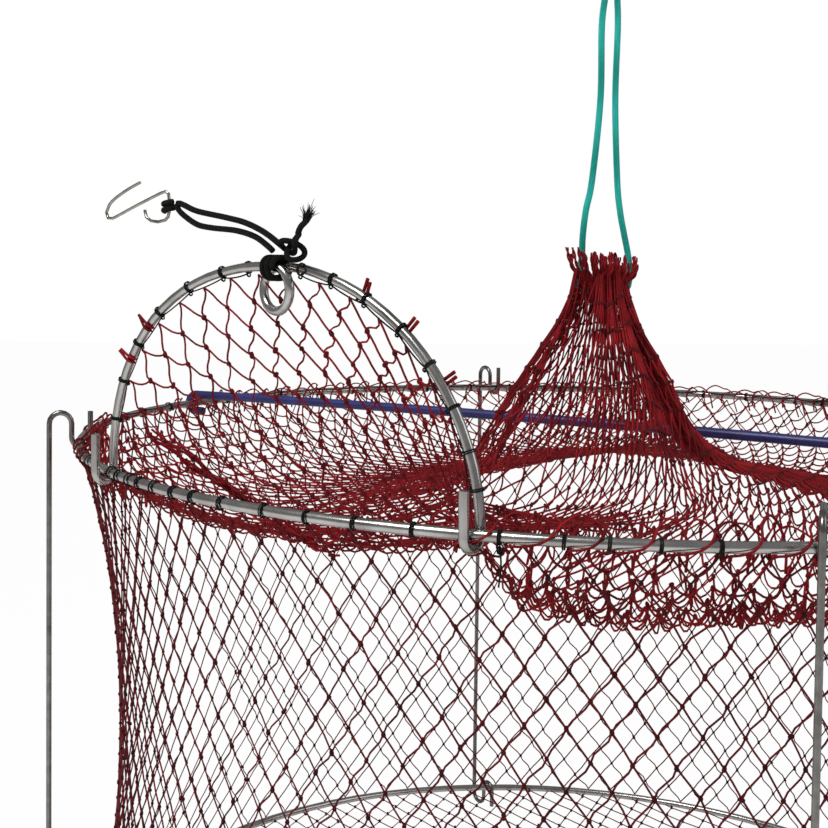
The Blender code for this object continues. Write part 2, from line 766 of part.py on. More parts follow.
make_lift_cord()
lift_knot_cord = LIFT_CORD * KNOT_SQUEEZE
bend_rod(
    "lift_knot",
    trefoil(over_neck(-0.014, 0.0, 0.4072), UP, Vector((1, 0, 0)), Vector((0, 1, 0)), knot_size(lift_knot_cord)),
    lift_knot_cord, TEAL_CORD, top_frame, closed=True,
)
bend_rod(
    "lift_loop",
    smooth_through(
        [
            over_neck(-0.0224, 0.0, 0.4151), over_neck(-0.0240, 0.0, 0.428), over_neck(-0.0270, 0.0, 0.448),
            over_neck(-0.0220, 0.0, 0.460), over_neck(-0.0140, 0.0, 0.464), over_neck(-0.0060, 0.0, 0.460),
            over_neck(-0.0010, 0.0, 0.448), over_neck(-0.0040, 0.0, 0.428), over_neck(-0.0056, 0.0, 0.4151),
        ],
        0.0080,
    ),
    LIFT_CORD, TEAL_CORD, top_frame,
)
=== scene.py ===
import math

import bmesh
import bpy
import numpy as np
from mathutils import Matrix, Vector


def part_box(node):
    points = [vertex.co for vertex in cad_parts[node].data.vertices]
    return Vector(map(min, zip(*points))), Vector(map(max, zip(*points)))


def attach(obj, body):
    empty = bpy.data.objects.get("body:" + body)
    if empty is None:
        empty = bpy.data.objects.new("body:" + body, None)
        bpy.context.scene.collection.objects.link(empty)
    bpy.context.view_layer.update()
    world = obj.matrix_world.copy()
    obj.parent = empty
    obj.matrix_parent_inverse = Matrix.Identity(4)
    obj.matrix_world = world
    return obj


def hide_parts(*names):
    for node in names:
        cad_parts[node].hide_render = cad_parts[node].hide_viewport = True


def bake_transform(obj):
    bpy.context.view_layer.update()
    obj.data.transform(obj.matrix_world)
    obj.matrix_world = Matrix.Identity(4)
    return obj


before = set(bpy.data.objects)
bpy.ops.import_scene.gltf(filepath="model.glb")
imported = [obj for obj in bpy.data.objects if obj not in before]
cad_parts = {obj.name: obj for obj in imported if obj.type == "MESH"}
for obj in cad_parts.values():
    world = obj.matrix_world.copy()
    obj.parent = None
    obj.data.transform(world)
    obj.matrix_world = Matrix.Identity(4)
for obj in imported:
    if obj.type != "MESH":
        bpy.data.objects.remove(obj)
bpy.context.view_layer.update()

scene = bpy.context.scene
dice = np.random.default_rng(11)
print("stage: frame loaded")

# Places in metres and degrees; a rise is a height above the top ring

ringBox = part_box("top_ring")
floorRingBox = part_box("bottom_ring")
topZ = (ringBox[0].z + ringBox[1].z) / 2
bottomZ = (floorRingBox[0].z + floorRingBox[1].z) / 2
trap = {
    "ringRadius": 0.473,
    "ringRod": 0.008,
    "neck": (-0.018, -0.100, 0.142),  # the last number is its rise
    "neckRadius": 0.017,
    "struts": (180.0, 0.0, 88.5, -88.5),  # where they meet the ring
    "barEnds": (141.0, -35.0),
}
mouth = {
    "angle": 223.6,
    "halfWidth": 0.178,
    "rise": 0.165,
    "leftFullness": 2.25,  # 2 is a half ellipse, more is squarer
    "rightFullness": 1.95,
    "inward": 0.0092,
    "rod": 0.007,
}
hingeChord = math.sqrt(trap["ringRadius"] ** 2 - mouth["halfWidth"] ** 2)
hingeSpread = math.degrees(math.asin(mouth["halfWidth"] / trap["ringRadius"]))
leftHinge = mouth["angle"] - hingeSpread
rightHinge = mouth["angle"] + hingeSpread
mouthTurn = math.radians(mouth["angle"])
mouthOut = np.array([math.cos(mouthTurn), math.sin(mouthTurn), 0.0])
mouthAlong = np.array([-math.sin(mouthTurn), math.cos(mouthTurn), 0.0])
upward = np.array([0.0, 0.0, 1.0])
mouthMiddle = mouthOut * hingeChord + upward * topZ
neckFoot = np.array([trap["neck"][0], trap["neck"][1], topZ])  # under the neck, at the ring's height


def mouthPlace(along, inward, rise):
    # a point by its distance along the mouth, inward from it and above the ring
    return mouthMiddle + mouthAlong * along - mouthOut * inward + upward * rise


def ringPlace(degrees, radius, height):
    turn = math.radians(degrees)
    return np.array([radius * math.cos(turn), radius * math.sin(turn), height])


def overNeck(x, away, rise):
    return np.array([x, trap["neck"][1] + away, topZ + rise])


def smoothLine(points, spacing):
    # a smooth curve through given points, read at this spacing
    points = [np.array(p, float) for p in points]
    padded = [2 * points[0] - points[1]] + points + [2 * points[-1] - points[-2]]
    found = [points[0]]
    for a, b, c, d in zip(padded, padded[1:], padded[2:], padded[3:]):
        steps = max(1, round(np.linalg.norm(c - b) / spacing))
        for k in range(1, steps + 1):
            t = k / steps
            found.append(0.5 * ((2 * b) + (c - a) * t + (2 * a - 5 * b + 4 * c - d) * t**2
                                + (3 * b - a - 3 * c + d) * t**3))
    return np.array(found)


def lineLength(points):
    return float(np.linalg.norm(np.diff(points, axis=0), axis=1).sum())


def evenly(points, count):
    # the same line read at equal distances
    points = np.asarray(points, float)
    far = np.r_[0.0, np.cumsum(np.linalg.norm(np.diff(points, axis=0), axis=1))]
    wanted = np.linspace(0.0, far[-1], count)
    return np.stack([np.interp(wanted, far, points[:, axis]) for axis in range(3)], axis=1)


def archLine():
    # the hoop's curve as places along the mouth and rises, and how far along it each of them lies
    turn = np.linspace(math.pi, 0.0, 721)
    fullness = np.where(np.cos(turn) > 0, mouth["rightFullness"], mouth["leftFullness"])
    along = np.sign(np.cos(turn)) * np.abs(np.cos(turn)) ** (2 / fullness) * mouth["halfWidth"]
    rise = np.abs(np.sin(turn)) ** (2 / fullness) * mouth["rise"]
    line = np.c_[along, rise]
    return line, np.r_[0.0, np.cumsum(np.hypot(*np.diff(line, axis=0).T))]


arch, archFar = archLine()


def archSpot(distance):
    return [np.interp(distance, archFar, arch[:, axis]) for axis in (0, 1)]


# Camera

view = {
    "place": (-0.367, -1.291, 0.181),  # the last number is its rise
    "yaw": 3.784,
    "pitch": 2.547,
    "roll": 0.509,
    "lens": 60.87,
    "sensor": 36.0,
    "shift": (0.15, -0.13),
    "clip": (0.05, 60.0),
}


def makeCamera():
    yaw, pitch, roll = (math.radians(view[k]) for k in ("yaw", "pitch", "roll"))
    ahead = Vector((math.sin(yaw) * math.cos(pitch), math.cos(yaw) * math.cos(pitch), -math.sin(pitch)))
    right = Vector((math.cos(yaw), -math.sin(yaw), 0.0))
    above = right.cross(ahead)
    across = right * math.cos(roll) + above * math.sin(roll)
    above = above * math.cos(roll) - right * math.sin(roll)
    data = bpy.data.cameras.new("camera")
    data.lens = view["lens"]
    data.sensor_width = view["sensor"]
    data.shift_x, data.shift_y = view["shift"]
    data.clip_start, data.clip_end = view["clip"]
    camera = bpy.data.objects.new("camera", data)
    scene.collection.objects.link(camera)
    turn = Matrix((across, above, -ahead)).transposed().to_4x4()
    x, y, rise = view["place"]
    camera.matrix_world = Matrix.Translation((x, y, topZ + rise)) @ turn
    scene.camera = camera


makeCamera()
print("stage: camera placed")

# Materials


def addNode(tree, kind, **values):
    # a value named as a socket goes to that socket, any other is the node's own setting
    node = tree.nodes.new(kind)
    for key, value in values.items():
        if key in node.inputs:
            node.inputs[key].default_value = value
        else:
            setattr(node, key, value)
    return node


def startMaterial(name, **values):
    # a new material, and its shader with these values on its own sockets
    material = bpy.data.materials.new(name)
    material.use_nodes = True
    tree = material.node_tree
    shader = tree.nodes["Principled BSDF"]
    for key, value in values.items():
        shader.inputs[key].default_value = value
    return material, tree, shader


def noise(tree, **values):
    # noise on Object coordinates
    place = tree.nodes.get("Texture Coordinate") or addNode(tree, "ShaderNodeTexCoord")
    node = addNode(tree, "ShaderNodeTexNoise", **values)
    tree.links.new(place.outputs["Object"], node.inputs["Vector"])
    return node.outputs["Fac"]


def reckon(tree, operation, *terms):
    # a Math node, whose terms are numbers or other nodes' outputs
    node = addNode(tree, "ShaderNodeMath", operation=operation)
    for socket, term in zip(node.inputs, terms):
        if isinstance(term, float):
            socket.default_value = term
        else:
            tree.links.new(term, socket)
    return node.outputs["Value"]


def remap(tree, value, **ends):
    node = addNode(tree, "ShaderNodeMapRange")
    for key, end in ends.items():
        node.inputs[{"fromLow": "From Min", "low": "To Min", "high": "To Max"}[key]].default_value = end
    tree.links.new(value, node.inputs["Value"])
    return node.outputs["Result"]


def ramp(tree, value, stops):
    node = addNode(tree, "ShaderNodeValToRGB")
    marks = node.color_ramp.elements
    while len(marks) < len(stops):
        marks.new(0.5)
    for mark, (place, colour) in zip(marks, stops):
        mark.position = place
        mark.color = (*colour, 1.0)
    tree.links.new(value, node.inputs["Fac"])
    return node.outputs["Color"]


def tones(look, low, middle, high):
    return [(low, look["dark"]), (middle, look["colour"]), (high, look["light"])]


def paint(tree, shader, colour, shade=None, depth=0.0):
    # a colour, darkened by a second one to this depth
    if shade:
        mix = addNode(tree, "ShaderNodeMixRGB", blend_type="MULTIPLY", Fac=depth)
        tree.links.new(colour, mix.inputs["Color1"])
        tree.links.new(shade, mix.inputs["Color2"])
        colour = mix.outputs["Color"]
    tree.links.new(colour, shader.inputs["Base Color"])


def emboss(tree, shader, height, strength, distance):
    bump = addNode(tree, "ShaderNodeBump", Strength=strength, Distance=distance)
    tree.links.new(height, bump.inputs["Height"])
    tree.links.new(bump.outputs["Normal"], shader.inputs["Normal"])


def twineMaterial(name, look):
    # twisted twine: blotches of darker dye and fine fibres, both on Object coordinates
    material, tree, shader = startMaterial(name, **{
        "Roughness": look["roughness"], "Sheen Weight": look["sheen"], "Specular IOR Level": 0.12,
    })
    dye = ramp(tree, noise(tree, Scale=look["blotch"], Detail=3.0), tones(look, 0.3, 0.55, 0.8))
    fibre = noise(tree, Scale=look["fibre"], Detail=2.0)
    shade = ramp(tree, fibre, [(0.35, (0.45, 0.45, 0.45)), (0.65, (1.0, 1.0, 1.0))])
    paint(tree, shader, dye, shade, 0.6)
    emboss(tree, shader, fibre, 0.5, 0.0004)
    return material


def braidMaterial(name, look):
    # braided cord: two sets of strands that cross, by the piece's own attribute round and along the cord; the
    # colour follows their relief, with painted shade in the grooves and a painted highlight on the crests
    material, tree, shader = startMaterial(name, **{"Sheen Weight": look["sheen"], "Specular IOR Level": 0.2})
    placed = addNode(tree, "ShaderNodeAttribute", attribute_name="alongCord")
    parts = addNode(tree, "ShaderNodeSeparateXYZ")
    tree.links.new(placed.outputs["Vector"], parts.inputs["Vector"])
    waves = []
    for side in (1.0, -1.0):
        turns = reckon(tree, "MULTIPLY", parts.outputs["X"], side * look["strands"])
        rise = reckon(tree, "MULTIPLY_ADD", parts.outputs["Y"], look["picks"], turns)
        waves.append(reckon(tree, "SINE", reckon(tree, "MULTIPLY", rise, 2 * math.pi)))
    braid = reckon(tree, "MAXIMUM", *waves)
    # painted shade in the grooves between strands, painted highlight on their crests
    strands = ramp(tree, remap(tree, braid, fromLow=-0.6), tones(look, 0.0, 0.45, 1.0))
    grain = noise(tree, Scale=look["fibre"], Detail=3.0)
    tone = ramp(tree, grain, [(0.3, (0.62, 0.62, 0.62)), (0.7, (1.0, 1.0, 1.0))])
    paint(tree, shader, strands, tone, 0.6)
    rough = remap(tree, grain, low=look["roughness"] - 0.1, high=look["roughness"] + 0.1)
    tree.links.new(rough, shader.inputs["Roughness"])
    emboss(tree, shader, braid, look["bump"], 0.0006)
    return material


def steelMaterial(name, look):
    # drawn wire: a mottled zinc skin and darker handling marks
    material, tree, shader = startMaterial(name, Metallic=1.0)
    mottle = noise(tree, Scale=look["mottle"], Detail=5.0, Roughness=0.6)
    marks = noise(tree, Scale=look["marks"], Detail=4.0)
    grime = ramp(tree, marks, [(0.34, (0.5, 0.48, 0.46)), (0.46, (1.0, 1.0, 1.0))])
    paint(tree, shader, ramp(tree, mottle, tones(look, 0.25, 0.5, 0.8)), grime, 0.7)
    rough = remap(tree, mottle, low=look["smoothest"], high=look["roughest"])
    tree.links.new(rough, shader.inputs["Roughness"])
    emboss(tree, shader, mottle, 0.25, 0.0003)
    return material


def hoseMaterial(name, look):
    # soft plastic hose: mottled and finely scuffed, with a thin film over it
    material, tree, shader = startMaterial(name, **{"Coat Weight": 0.25, "Coat Roughness": 0.25})
    paint(tree, shader, ramp(tree, noise(tree, Scale=30.0, Detail=4.0), tones(look, 0.3, 0.6, 0.85)))
    scuff = noise(tree, Scale=420.0, Detail=3.0)
    tree.links.new(remap(tree, scuff, low=0.3, high=0.55), shader.inputs["Roughness"])
    emboss(tree, shader, scuff, 0.15, 0.0003)
    return material


redTwine = twineMaterial("redTwine", {
    "colour": (0.30, 0.011, 0.016), "dark": (0.12, 0.004, 0.007), "light": (0.46, 0.022, 0.030),
    "roughness": 0.68, "sheen": 0.0, "blotch": 38.0, "fibre": 1500.0,
})
# the knots are the same twine painted darker, as painted shade between their tight turns
shadedRedKnot = twineMaterial("shadedRedKnot", {
    "colour": (0.17, 0.007, 0.011), "dark": (0.08, 0.003, 0.006), "light": (0.26, 0.012, 0.018),
    "roughness": 0.7, "sheen": 0.05, "blotch": 60.0, "fibre": 1800.0,
})
# the wall and floor nets use the same red twine as the top net, painted darker as shade
shadedWallTwine = twineMaterial("shadedWallTwine", {
    "colour": (0.16, 0.007, 0.011), "dark": (0.08, 0.003, 0.006), "light": (0.25, 0.012, 0.018),
    "roughness": 0.66, "sheen": 0.05, "blotch": 30.0, "fibre": 1500.0,
})
# the wall's knots are its twine painted darker again, as painted shade between their turns
shadedWallKnot = twineMaterial("shadedWallKnot", {
    "colour": (0.075, 0.003, 0.006), "dark": (0.035, 0.002, 0.003), "light": (0.13, 0.007, 0.010),
    "roughness": 0.7, "sheen": 0.04, "blotch": 60.0, "fibre": 1800.0,
})
blackTwine = twineMaterial("blackTwine", {
    "colour": (0.010, 0.008, 0.008), "dark": (0.004, 0.003, 0.003), "light": (0.026, 0.022, 0.021),
    "roughness": 0.62, "sheen": 0.05, "blotch": 70.0, "fibre": 1600.0,
})
tealBraid = braidMaterial("tealBraid", {
    "colour": (0.006, 0.70, 0.56), "dark": (0.003, 0.46, 0.36), "light": (0.05, 0.84, 0.72),
    "roughness": 0.55, "sheen": 0.02, "strands": 4.0, "picks": 170.0, "fibre": 1400.0, "bump": 0.7,
})
blackBraid = braidMaterial("blackBraid", {
    "colour": (0.005, 0.0045, 0.004), "dark": (0.0015, 0.0015, 0.001), "light": (0.016, 0.014, 0.012),
    "roughness": 0.72, "sheen": 0.01, "strands": 5.0, "picks": 260.0, "fibre": 1700.0, "bump": 0.9,
})
rodSteel = steelMaterial("rodSteel", {
    "colour": (0.60, 0.59, 0.57), "dark": (0.47, 0.46, 0.44), "light": (0.72, 0.715, 0.70),
    "mottle": 60.0, "marks": 14.0, "smoothest": 0.17, "roughest": 0.27,
})
# the struts are the same wire as the rings, painted darker as painted shade on the upright rods
shadedStrutSteel = steelMaterial("shadedStrutSteel", {
    "colour": (0.26, 0.25, 0.24), "dark": (0.17, 0.165, 0.155), "light": (0.38, 0.37, 0.355),
    "mottle": 90.0, "marks": 14.0, "smoothest": 0.20, "roughest": 0.30,
})
hookSteel = steelMaterial("hookSteel", {
    "colour": (0.50, 0.47, 0.42), "dark": (0.30, 0.28, 0.25), "light": (0.66, 0.63, 0.58),
    "mottle": 160.0, "marks": 60.0, "smoothest": 0.18, "roughest": 0.30,
})
navyHose = hoseMaterial("navyHose", {
    "colour": (0.020, 0.024, 0.17), "dark": (0.012, 0.014, 0.11), "light": (0.036, 0.042, 0.25),
})
print("stage: materials made")

# Twine and cord


def makeTwine(name, lines, diameter, material, widths=None, rounding=0, closed=False):
    # every line becomes a capped twine, square in section unless it is rounded, and all of them one mesh
    curve = bpy.data.curves.new(name, "CURVE")
    curve.dimensions = "3D"
    curve.bevel_depth = diameter / 2
    curve.bevel_resolution = rounding
    curve.use_fill_caps = not closed
    for number, points in enumerate(lines):
        spline = curve.splines.new("POLY")
        spline.points.add(len(points) - 1)
        spline.points.foreach_set("co", np.c_[points, np.ones(len(points))].astype(np.float32).ravel())
        if widths is not None:
            spline.points.foreach_set("radius", np.asarray(widths[number], np.float32))
        spline.use_cyclic_u = closed
        spline.use_smooth = True
    drawn = bpy.data.objects.new(name + "Line", curve)
    scene.collection.objects.link(drawn)
    mesh = bpy.data.meshes.new_from_object(drawn.evaluated_get(bpy.context.evaluated_depsgraph_get()))
    bpy.data.objects.remove(drawn, do_unlink=True)
    bpy.data.curves.remove(curve)
    mesh.name = name
    mesh.materials.clear()
    mesh.materials.append(material)
    mesh.shade_smooth()
    piece = bpy.data.objects.new(name, mesh)
    scene.collection.objects.link(piece)
    return piece


def makeBraid(name, line, diameter, material, closed=False, marked=None):
    # a round cord, with turns round it and metres along it in an attribute, from the tube's own UV map;
    # marked is the whole line, where only a part of it is made
    piece = makeTwine(name, [line], diameter, material, rounding=3, closed=closed)
    mesh = piece.data
    uv = np.zeros(len(mesh.loops) * 2, np.float32)
    mesh.uv_layers[0].data.foreach_get("uv", uv)
    uv = uv.reshape(-1, 2)
    metres = uv[:, 1] * lineLength(line if marked is None else marked)
    along = np.c_[uv[:, 0], metres, np.zeros(len(uv))].astype(np.float32)
    mesh.attributes.new("alongCord", "FLOAT_VECTOR", "CORNER").data.foreach_set("vector", along.ravel())
    return piece


def overhand(centre, across, above, out, apart):
    # the closed form of an overhand knot, whose strands pass each other this far apart
    size = apart / 1.47
    turn = np.linspace(0.0, 2 * math.pi, 64, endpoint=False)[:, None]
    return (centre + across * (size * (np.cos(turn) - 2 * np.cos(2 * turn)))
            + above * (size * (np.sin(turn) + 2 * np.sin(2 * turn))) + out * (size * 1.5 * np.sin(3 * turn)))


def carry(body, finish, *pieces):
    for piece in pieces:
        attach(piece, body)


# Lifting cord; its places are an x, a distance behind the neck's middle and a rise

liftCord = {
    "diameter": 0.0055,
    "squeeze": 0.75,  # how much thinner the cord is in its knot
    "gap": 0.0006,
    "route": [
        (-0.0195, 0.0, 0.396), (-0.0220, 0.0, 0.369), (-0.0220, 0.0, 0.308), (-0.0280, 0.0, 0.239),
        (-0.0330, 0.0, 0.212), (-0.0345, 0.003, 0.190), (-0.0340, 0.007, 0.170), (-0.0370, 0.010, 0.152),
        (-0.0320, 0.0165, 0.144), (-0.0180, 0.0222, 0.142), (-0.0010, 0.0165, 0.142), (0.0060, 0.006, 0.145),
        (0.0065, 0.0, 0.156), (0.0050, 0.0, 0.173), (0.0010, 0.0, 0.192), (-0.0030, 0.0, 0.212),
        (-0.0060, 0.0, 0.239), (-0.0090, 0.0, 0.307), (-0.0080, 0.0, 0.369), (-0.0090, 0.0, 0.396),
    ],
    "loop": [
        (-0.0224, 0.0, 0.4151), (-0.0240, 0.0, 0.428), (-0.0270, 0.0, 0.448), (-0.0220, 0.0, 0.460),
        (-0.0140, 0.0, 0.464), (-0.0060, 0.0, 0.460), (-0.0010, 0.0, 0.448), (-0.0040, 0.0, 0.428),
        (-0.0056, 0.0, 0.4151),
    ],
    "knot": (-0.014, 0.0, 0.4072),
}


def makeLiftCord():
    thick = liftCord["diameter"]
    thin = thick * liftCord["squeeze"]
    route = smoothLine([overNeck(*p) for p in liftCord["route"]], 0.004)
    loopLine = smoothLine([overNeck(*p) for p in liftCord["loop"]], 0.003)
    cord = makeBraid("liftCord", route, thick, tealBraid)
    loop = makeBraid("liftLoop", loopLine, thick, tealBraid)
    sideways, away = np.array([1.0, 0, 0]), np.array([0, 1.0, 0])
    knotLine = overhand(overNeck(*liftCord["knot"]), upward, sideways, away, thin + liftCord["gap"])
    knot = makeBraid("liftKnot", knotLine, thin, tealBraid, closed=True)
    carry("top_frame", "teal_cord", cord, loop, knot)
    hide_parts("lift_cord")
    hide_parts("lift_loop")
    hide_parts("lift_knot")


makeLiftCord()

# Elastic; its places are along the mouth and above the ring
elastic = {
    "diameter": 0.0045,
    "gap": 0.0003,
    "hook": (-0.1135, 0.209),
    "hookWire": 0.0025,
    "outward": [(0.0050, 0.1795), (-0.0120, 0.1890), (-0.0310, 0.1960), (-0.0510, 0.2000),
                (-0.0820, 0.2050), (-0.0960, 0.2095)],
    "bight": [(0.0010, 0.2115), (0.0, 0.2090), (0.0015, 0.2062)],  # along from its turning point
    "back": [(-0.0960, 0.2015), (-0.0820, 0.1950), (-0.0660, 0.1925), (-0.0410, 0.1905),
             (-0.0220, 0.1862), (-0.0090, 0.1795), (-0.0040, 0.1760)],
    "hitchTurns": 1.5,
    "hitchFacets": 24,
    "wrapTurns": 2.5,
    "wrapFacets": 32,
    "wrapStart": -0.0065,
    "wrapDrop": 0.0010,
    "wrapLoose": 0.0016,
    "wrapSquare": 0.8,  # 1 is an ellipse, less is squarer
    "eyeSpread": 0.0076,
    "knot": (0.0154, 0.1790),
    "squeeze": 0.95,
    "tail": [(0.0200, 0.1882), (0.0225, 0.1930), (0.0290, 0.1985), (0.0300, 0.2030)],
}
brush = {"fibres": 60, "spread": 0.0018, "reach": (0.006, 0.011), "stray": 0.0008, "twine": 0.0007}


def inHoopPlane(places):
    return [mouthPlace(along, mouth["inward"], rise) for along, rise in places]


def hitchLine(along, rise, coil, pitch):
    # turns round the wire hook's end
    turns, facets = elastic["hitchTurns"], elastic["hitchFacets"]
    points = []
    for k in range(int(turns * facets) + 1):
        turn = math.radians(180 + 360 * k / facets)
        points.append(mouthPlace(along + coil * math.cos(turn), mouth["inward"] + coil * math.sin(turn),
                                 rise + pitch * (k / facets - turns / 2)))
    return np.array(points)


def wrapLine(thick, gap):
    # squarish turns round both strands of the hoop's eye

    def squared(value):
        return math.copysign(abs(value) ** elastic["wrapSquare"], value)

    halfDepth = elastic["eyeSpread"] / 2 + mouth["rod"] / 2 + thick / 2 + 3 * gap
    halfHeight = mouth["rod"] / 2 + thick / 2 + elastic["wrapLoose"]
    facets = elastic["wrapFacets"]
    points = []
    for k in range(int(elastic["wrapTurns"] * facets) + 1):
        turn = 2 * math.pi * k / facets
        points.append(mouthPlace(elastic["wrapStart"] + (thick + gap) * k / facets,
                                 mouth["inward"] + squared(math.cos(turn)) * halfDepth,
                                 mouth["rise"] - elastic["wrapDrop"] + squared(math.sin(turn)) * halfHeight))
    return np.array(points)


def makeBrush(root, tip):
    # the cut end opens into a brush of fibres
    heading = tip - root
    heading /= np.linalg.norm(heading)
    fibres, widths = [], []
    for k in range(brush["fibres"]):
        spread = dice.normal(0, 1, 3) * brush["spread"]
        reach = dice.uniform(*brush["reach"])
        start = root + spread * 0.5
        middle = start + heading * reach * 0.55 + spread * 0.35
        end = start + heading * reach + spread * 1.1 + dice.normal(0, 1, 3) * brush["stray"]
        fibres.append(np.array([start, middle, end]))
        widths.append([1.0, 0.9, 0.45])
    return makeTwine("elasticBrush", fibres, brush["twine"], blackTwine, widths)


def makeElastic():
    thick, gap = elastic["diameter"], elastic["gap"]
    hookAlong, hookRise = elastic["hook"]
    coil = elastic["hookWire"] / 2 + thick / 2 + 2 * gap
    turning = hookAlong + coil + thick + 2 * gap
    bight = [(turning + along, rise) for along, rise in elastic["bight"]]
    route = smoothLine(inHoopPlane(elastic["outward"] + bight + elastic["back"]), 0.003)
    thin = thick * elastic["squeeze"]
    centre = mouthPlace(elastic["knot"][0], mouth["inward"], elastic["knot"][1])
    knotLine = overhand(centre, mouthAlong, upward, -mouthOut, thin + 2 * gap)
    tailLine = smoothLine(inHoopPlane(elastic["tail"]), 0.002)
    cord = makeBraid("elasticCord", route, thick, blackBraid)
    hitch = makeBraid("elasticHitch", hitchLine(hookAlong, hookRise, coil, thick + gap), thick, blackBraid)
    wrap = makeBraid("elasticWrap", wrapLine(thick, gap), thick, blackBraid)
    knot = makeBraid("elasticKnot", knotLine, thin, blackBraid, closed=True)
    tail = makeBraid("elasticTail", tailLine[:-2], thick, blackBraid, marked=tailLine)
    fibres = makeBrush(tailLine[-4], tailLine[-1])
    carry("door", "black_elastic", cord, hitch, wrap, knot, tail, fibres)
    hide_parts("elastic_cord")
    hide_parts("elastic_hitch")
    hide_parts("elastic_wrap")
    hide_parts("elastic_knot")
    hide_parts("elastic_tail")


makeElastic()
print("stage: cords made")

# Netting; columns are meshes round the trap, rows are half meshes
net = {
    "twine": 0.00145,
    "topTwine": 0.0016,
    "sideColumns": 101,
    "sideRows": 25,
    "sideEdge": 0.0050,
    "swing": 0.0011,
    "knot": 0.0034,
    "topKnot": 0.95,  # these two are shares of that knot
    "hoopKnot": 1.15,
    "topColumns": 118,
    "hoopColumns": 17,
    "topRows": 28,
    "topBar": 0.0242,
    "waistRadius": 0.436,
    "waistPower": 2.2,
    "unevenHeight": 0.0009,
    "unevenTurn": 0.0017,
    "unevenBar": 0.00035,
}
columns, rows = net["topColumns"], net["topRows"]


def makeKnots(name, places, size, material):
    # each knot is a short fat twist of twine lying across its mesh
    lines, widths = [], []
    lean = dice.normal(0, 1, (len(places), 3))
    for place, tilt in zip(places, lean):
        reach = np.array([0.16 * tilt[0], 0.16 * tilt[1], 0.52 + 0.12 * tilt[2]]) * size
        lines.append(np.array([place - reach, place - reach * 0.5, place + reach * 0.3, place + reach]))
        widths.append([0.5, 1.0, 0.92, 0.5])
    return makeTwine(name, lines, size, material, widths, rounding=1)


def barLine(first, middle, last, swing=None):
    # a slack bar bows through its middle, and one with a swing also runs as a flat S
    top = 2 * middle - 0.5 * (first + last)
    points = []
    slack = np.linalg.norm(middle - 0.5 * (first + last)) > 0.002
    for t in np.linspace(0.0, 1.0, 6 if slack or swing is not None else 3):
        place = (1 - t) ** 2 * first + 2 * t * (1 - t) * top + t**2 * last
        points.append(place if swing is None else place + swing * math.sin(2 * math.pi * t))
    return points


def wallRadius(height):
    half = (topZ - bottomZ) / 2
    share = np.abs(height - (topZ + bottomZ) / 2) / half
    return net["waistRadius"] + (trap["ringRadius"] - net["waistRadius"]) * share ** net["waistPower"]


def wallKnots():
    around, down = net["sideColumns"], net["sideRows"]
    high, low = topZ - net["sideEdge"], bottomZ + net["sideEdge"]
    places = np.zeros((down + 1, around, 3))
    for row in range(down + 1):
        turn = 2 * math.pi * (np.arange(around) + 0.5 * (row % 2)) / around
        stray = dice.normal(0, net["unevenHeight"], around) * (0 < row < down)
        height = high + (low - high) * row / down + stray
        turn = turn + dice.normal(0, net["unevenTurn"], around)
        radius = wallRadius(height) - 0.0002
        places[row] = np.c_[radius * np.cos(turn), radius * np.sin(turn), height]
    return places


def makeSideNet():
    # two sets of bars run down the wall, one leaning each way
    places = wallKnots()
    around, down = net["sideColumns"], net["sideRows"]
    lines = []
    for way in (0, 1):
        for column in range(around):
            at, points = column, []
            for row in range(down):
                step = (row % 2) if way else (row % 2) - 1
                after = (at + step) % around
                a, b = places[row, at], places[row + 1, after]
                points.append(a)
                if way:
                    points.append((a + b) / 2 + dice.normal(0, net["unevenBar"], 3))
                else:
                    # the looser bars leave their knots steeply, so they run as a flat S
                    side = (b - a) * np.array([1.0, 1.0, 0.0])
                    side *= net["swing"] * dice.uniform(0.5, 1.5) / np.linalg.norm(side)
                    points += [a + (b - a) * 0.28 - side, a + (b - a) * 0.72 + side]
                at = after
            points.append(places[down, at])
            lines.append(np.array(points))
    # the wall's twine is painted darker as shade
    wall = makeTwine("sideNet", lines, net["twine"], shadedWallTwine)
    lumps = makeKnots("sideNetKnots", places[1:-1].reshape(-1, 3), net["knot"], shadedWallKnot)
    for piece in (wall, lumps):
        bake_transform(piece)
    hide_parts("side_net")


makeSideNet()
print("stage: side net made")

# The top net is one sheet: laced to the ring, except at the mouth, where it hangs from the hoop
drape = {
    "bellyDepth": 0.055,
    "bellyNear": 0.016,
    "bellyDrop": 0.048,
    "bellyLeftRise": 0.033,
    "bellyRightRise": 0.047,
    "bellyHalfWidth": 0.160,
    "bellyShift": 0.005,
    "bellyFirst": -0.40,
    "bellyLast": 0.93,
    "hingeInset": 0.6,
    "hoopInset": 0.966,  # the hoop part's edge, as a share of the hoop's size
    "hoopBulge": (0.010, 0.016),  # outward and up
    "edgeInset": 0.0054,
    "edgeDrop": 0.0015,
    "front": (285, 60),  # where the slack hangs as garlands, and how far to each side
    "frontSag": 0.046,
    "backSag": 0.045,
    "leftDrop": 0.034,
    "skew": (1.2, 2.3),  # how near the edge the slack hangs lowest, at the back and what the front adds
    "coneRadius": 0.100,
    "coneLean": 0.20,
    "coneShape": [(0.022, 0.129), (0.040, 0.100), (0.059, 0.070), (0.080, 0.034), (0.100, 0.006)],
    "collar": (0.145, 0.166),
    "collarFlare": 0.10,
    "pleat": 1.15,
    "pleatTurn": -0.30,
    "pleatDepth": 0.16,
    "slackZone": 0.085,
    "backZone": 0.030,
    "hoopSlack": 0.215,
    "unevenRows": 0.36,
    "unevenBar": 0.0012,
    "postGap": 0.0100,
    "slackHold": 0.35,
    "steps": 240,
    "tick": 0.004,
    "passes": 5,
    "hold": 0.06,
    "damping": 0.9,
    "doorRows": 11,
    "coneRows": 17,
    "swing": 0.0026,
}


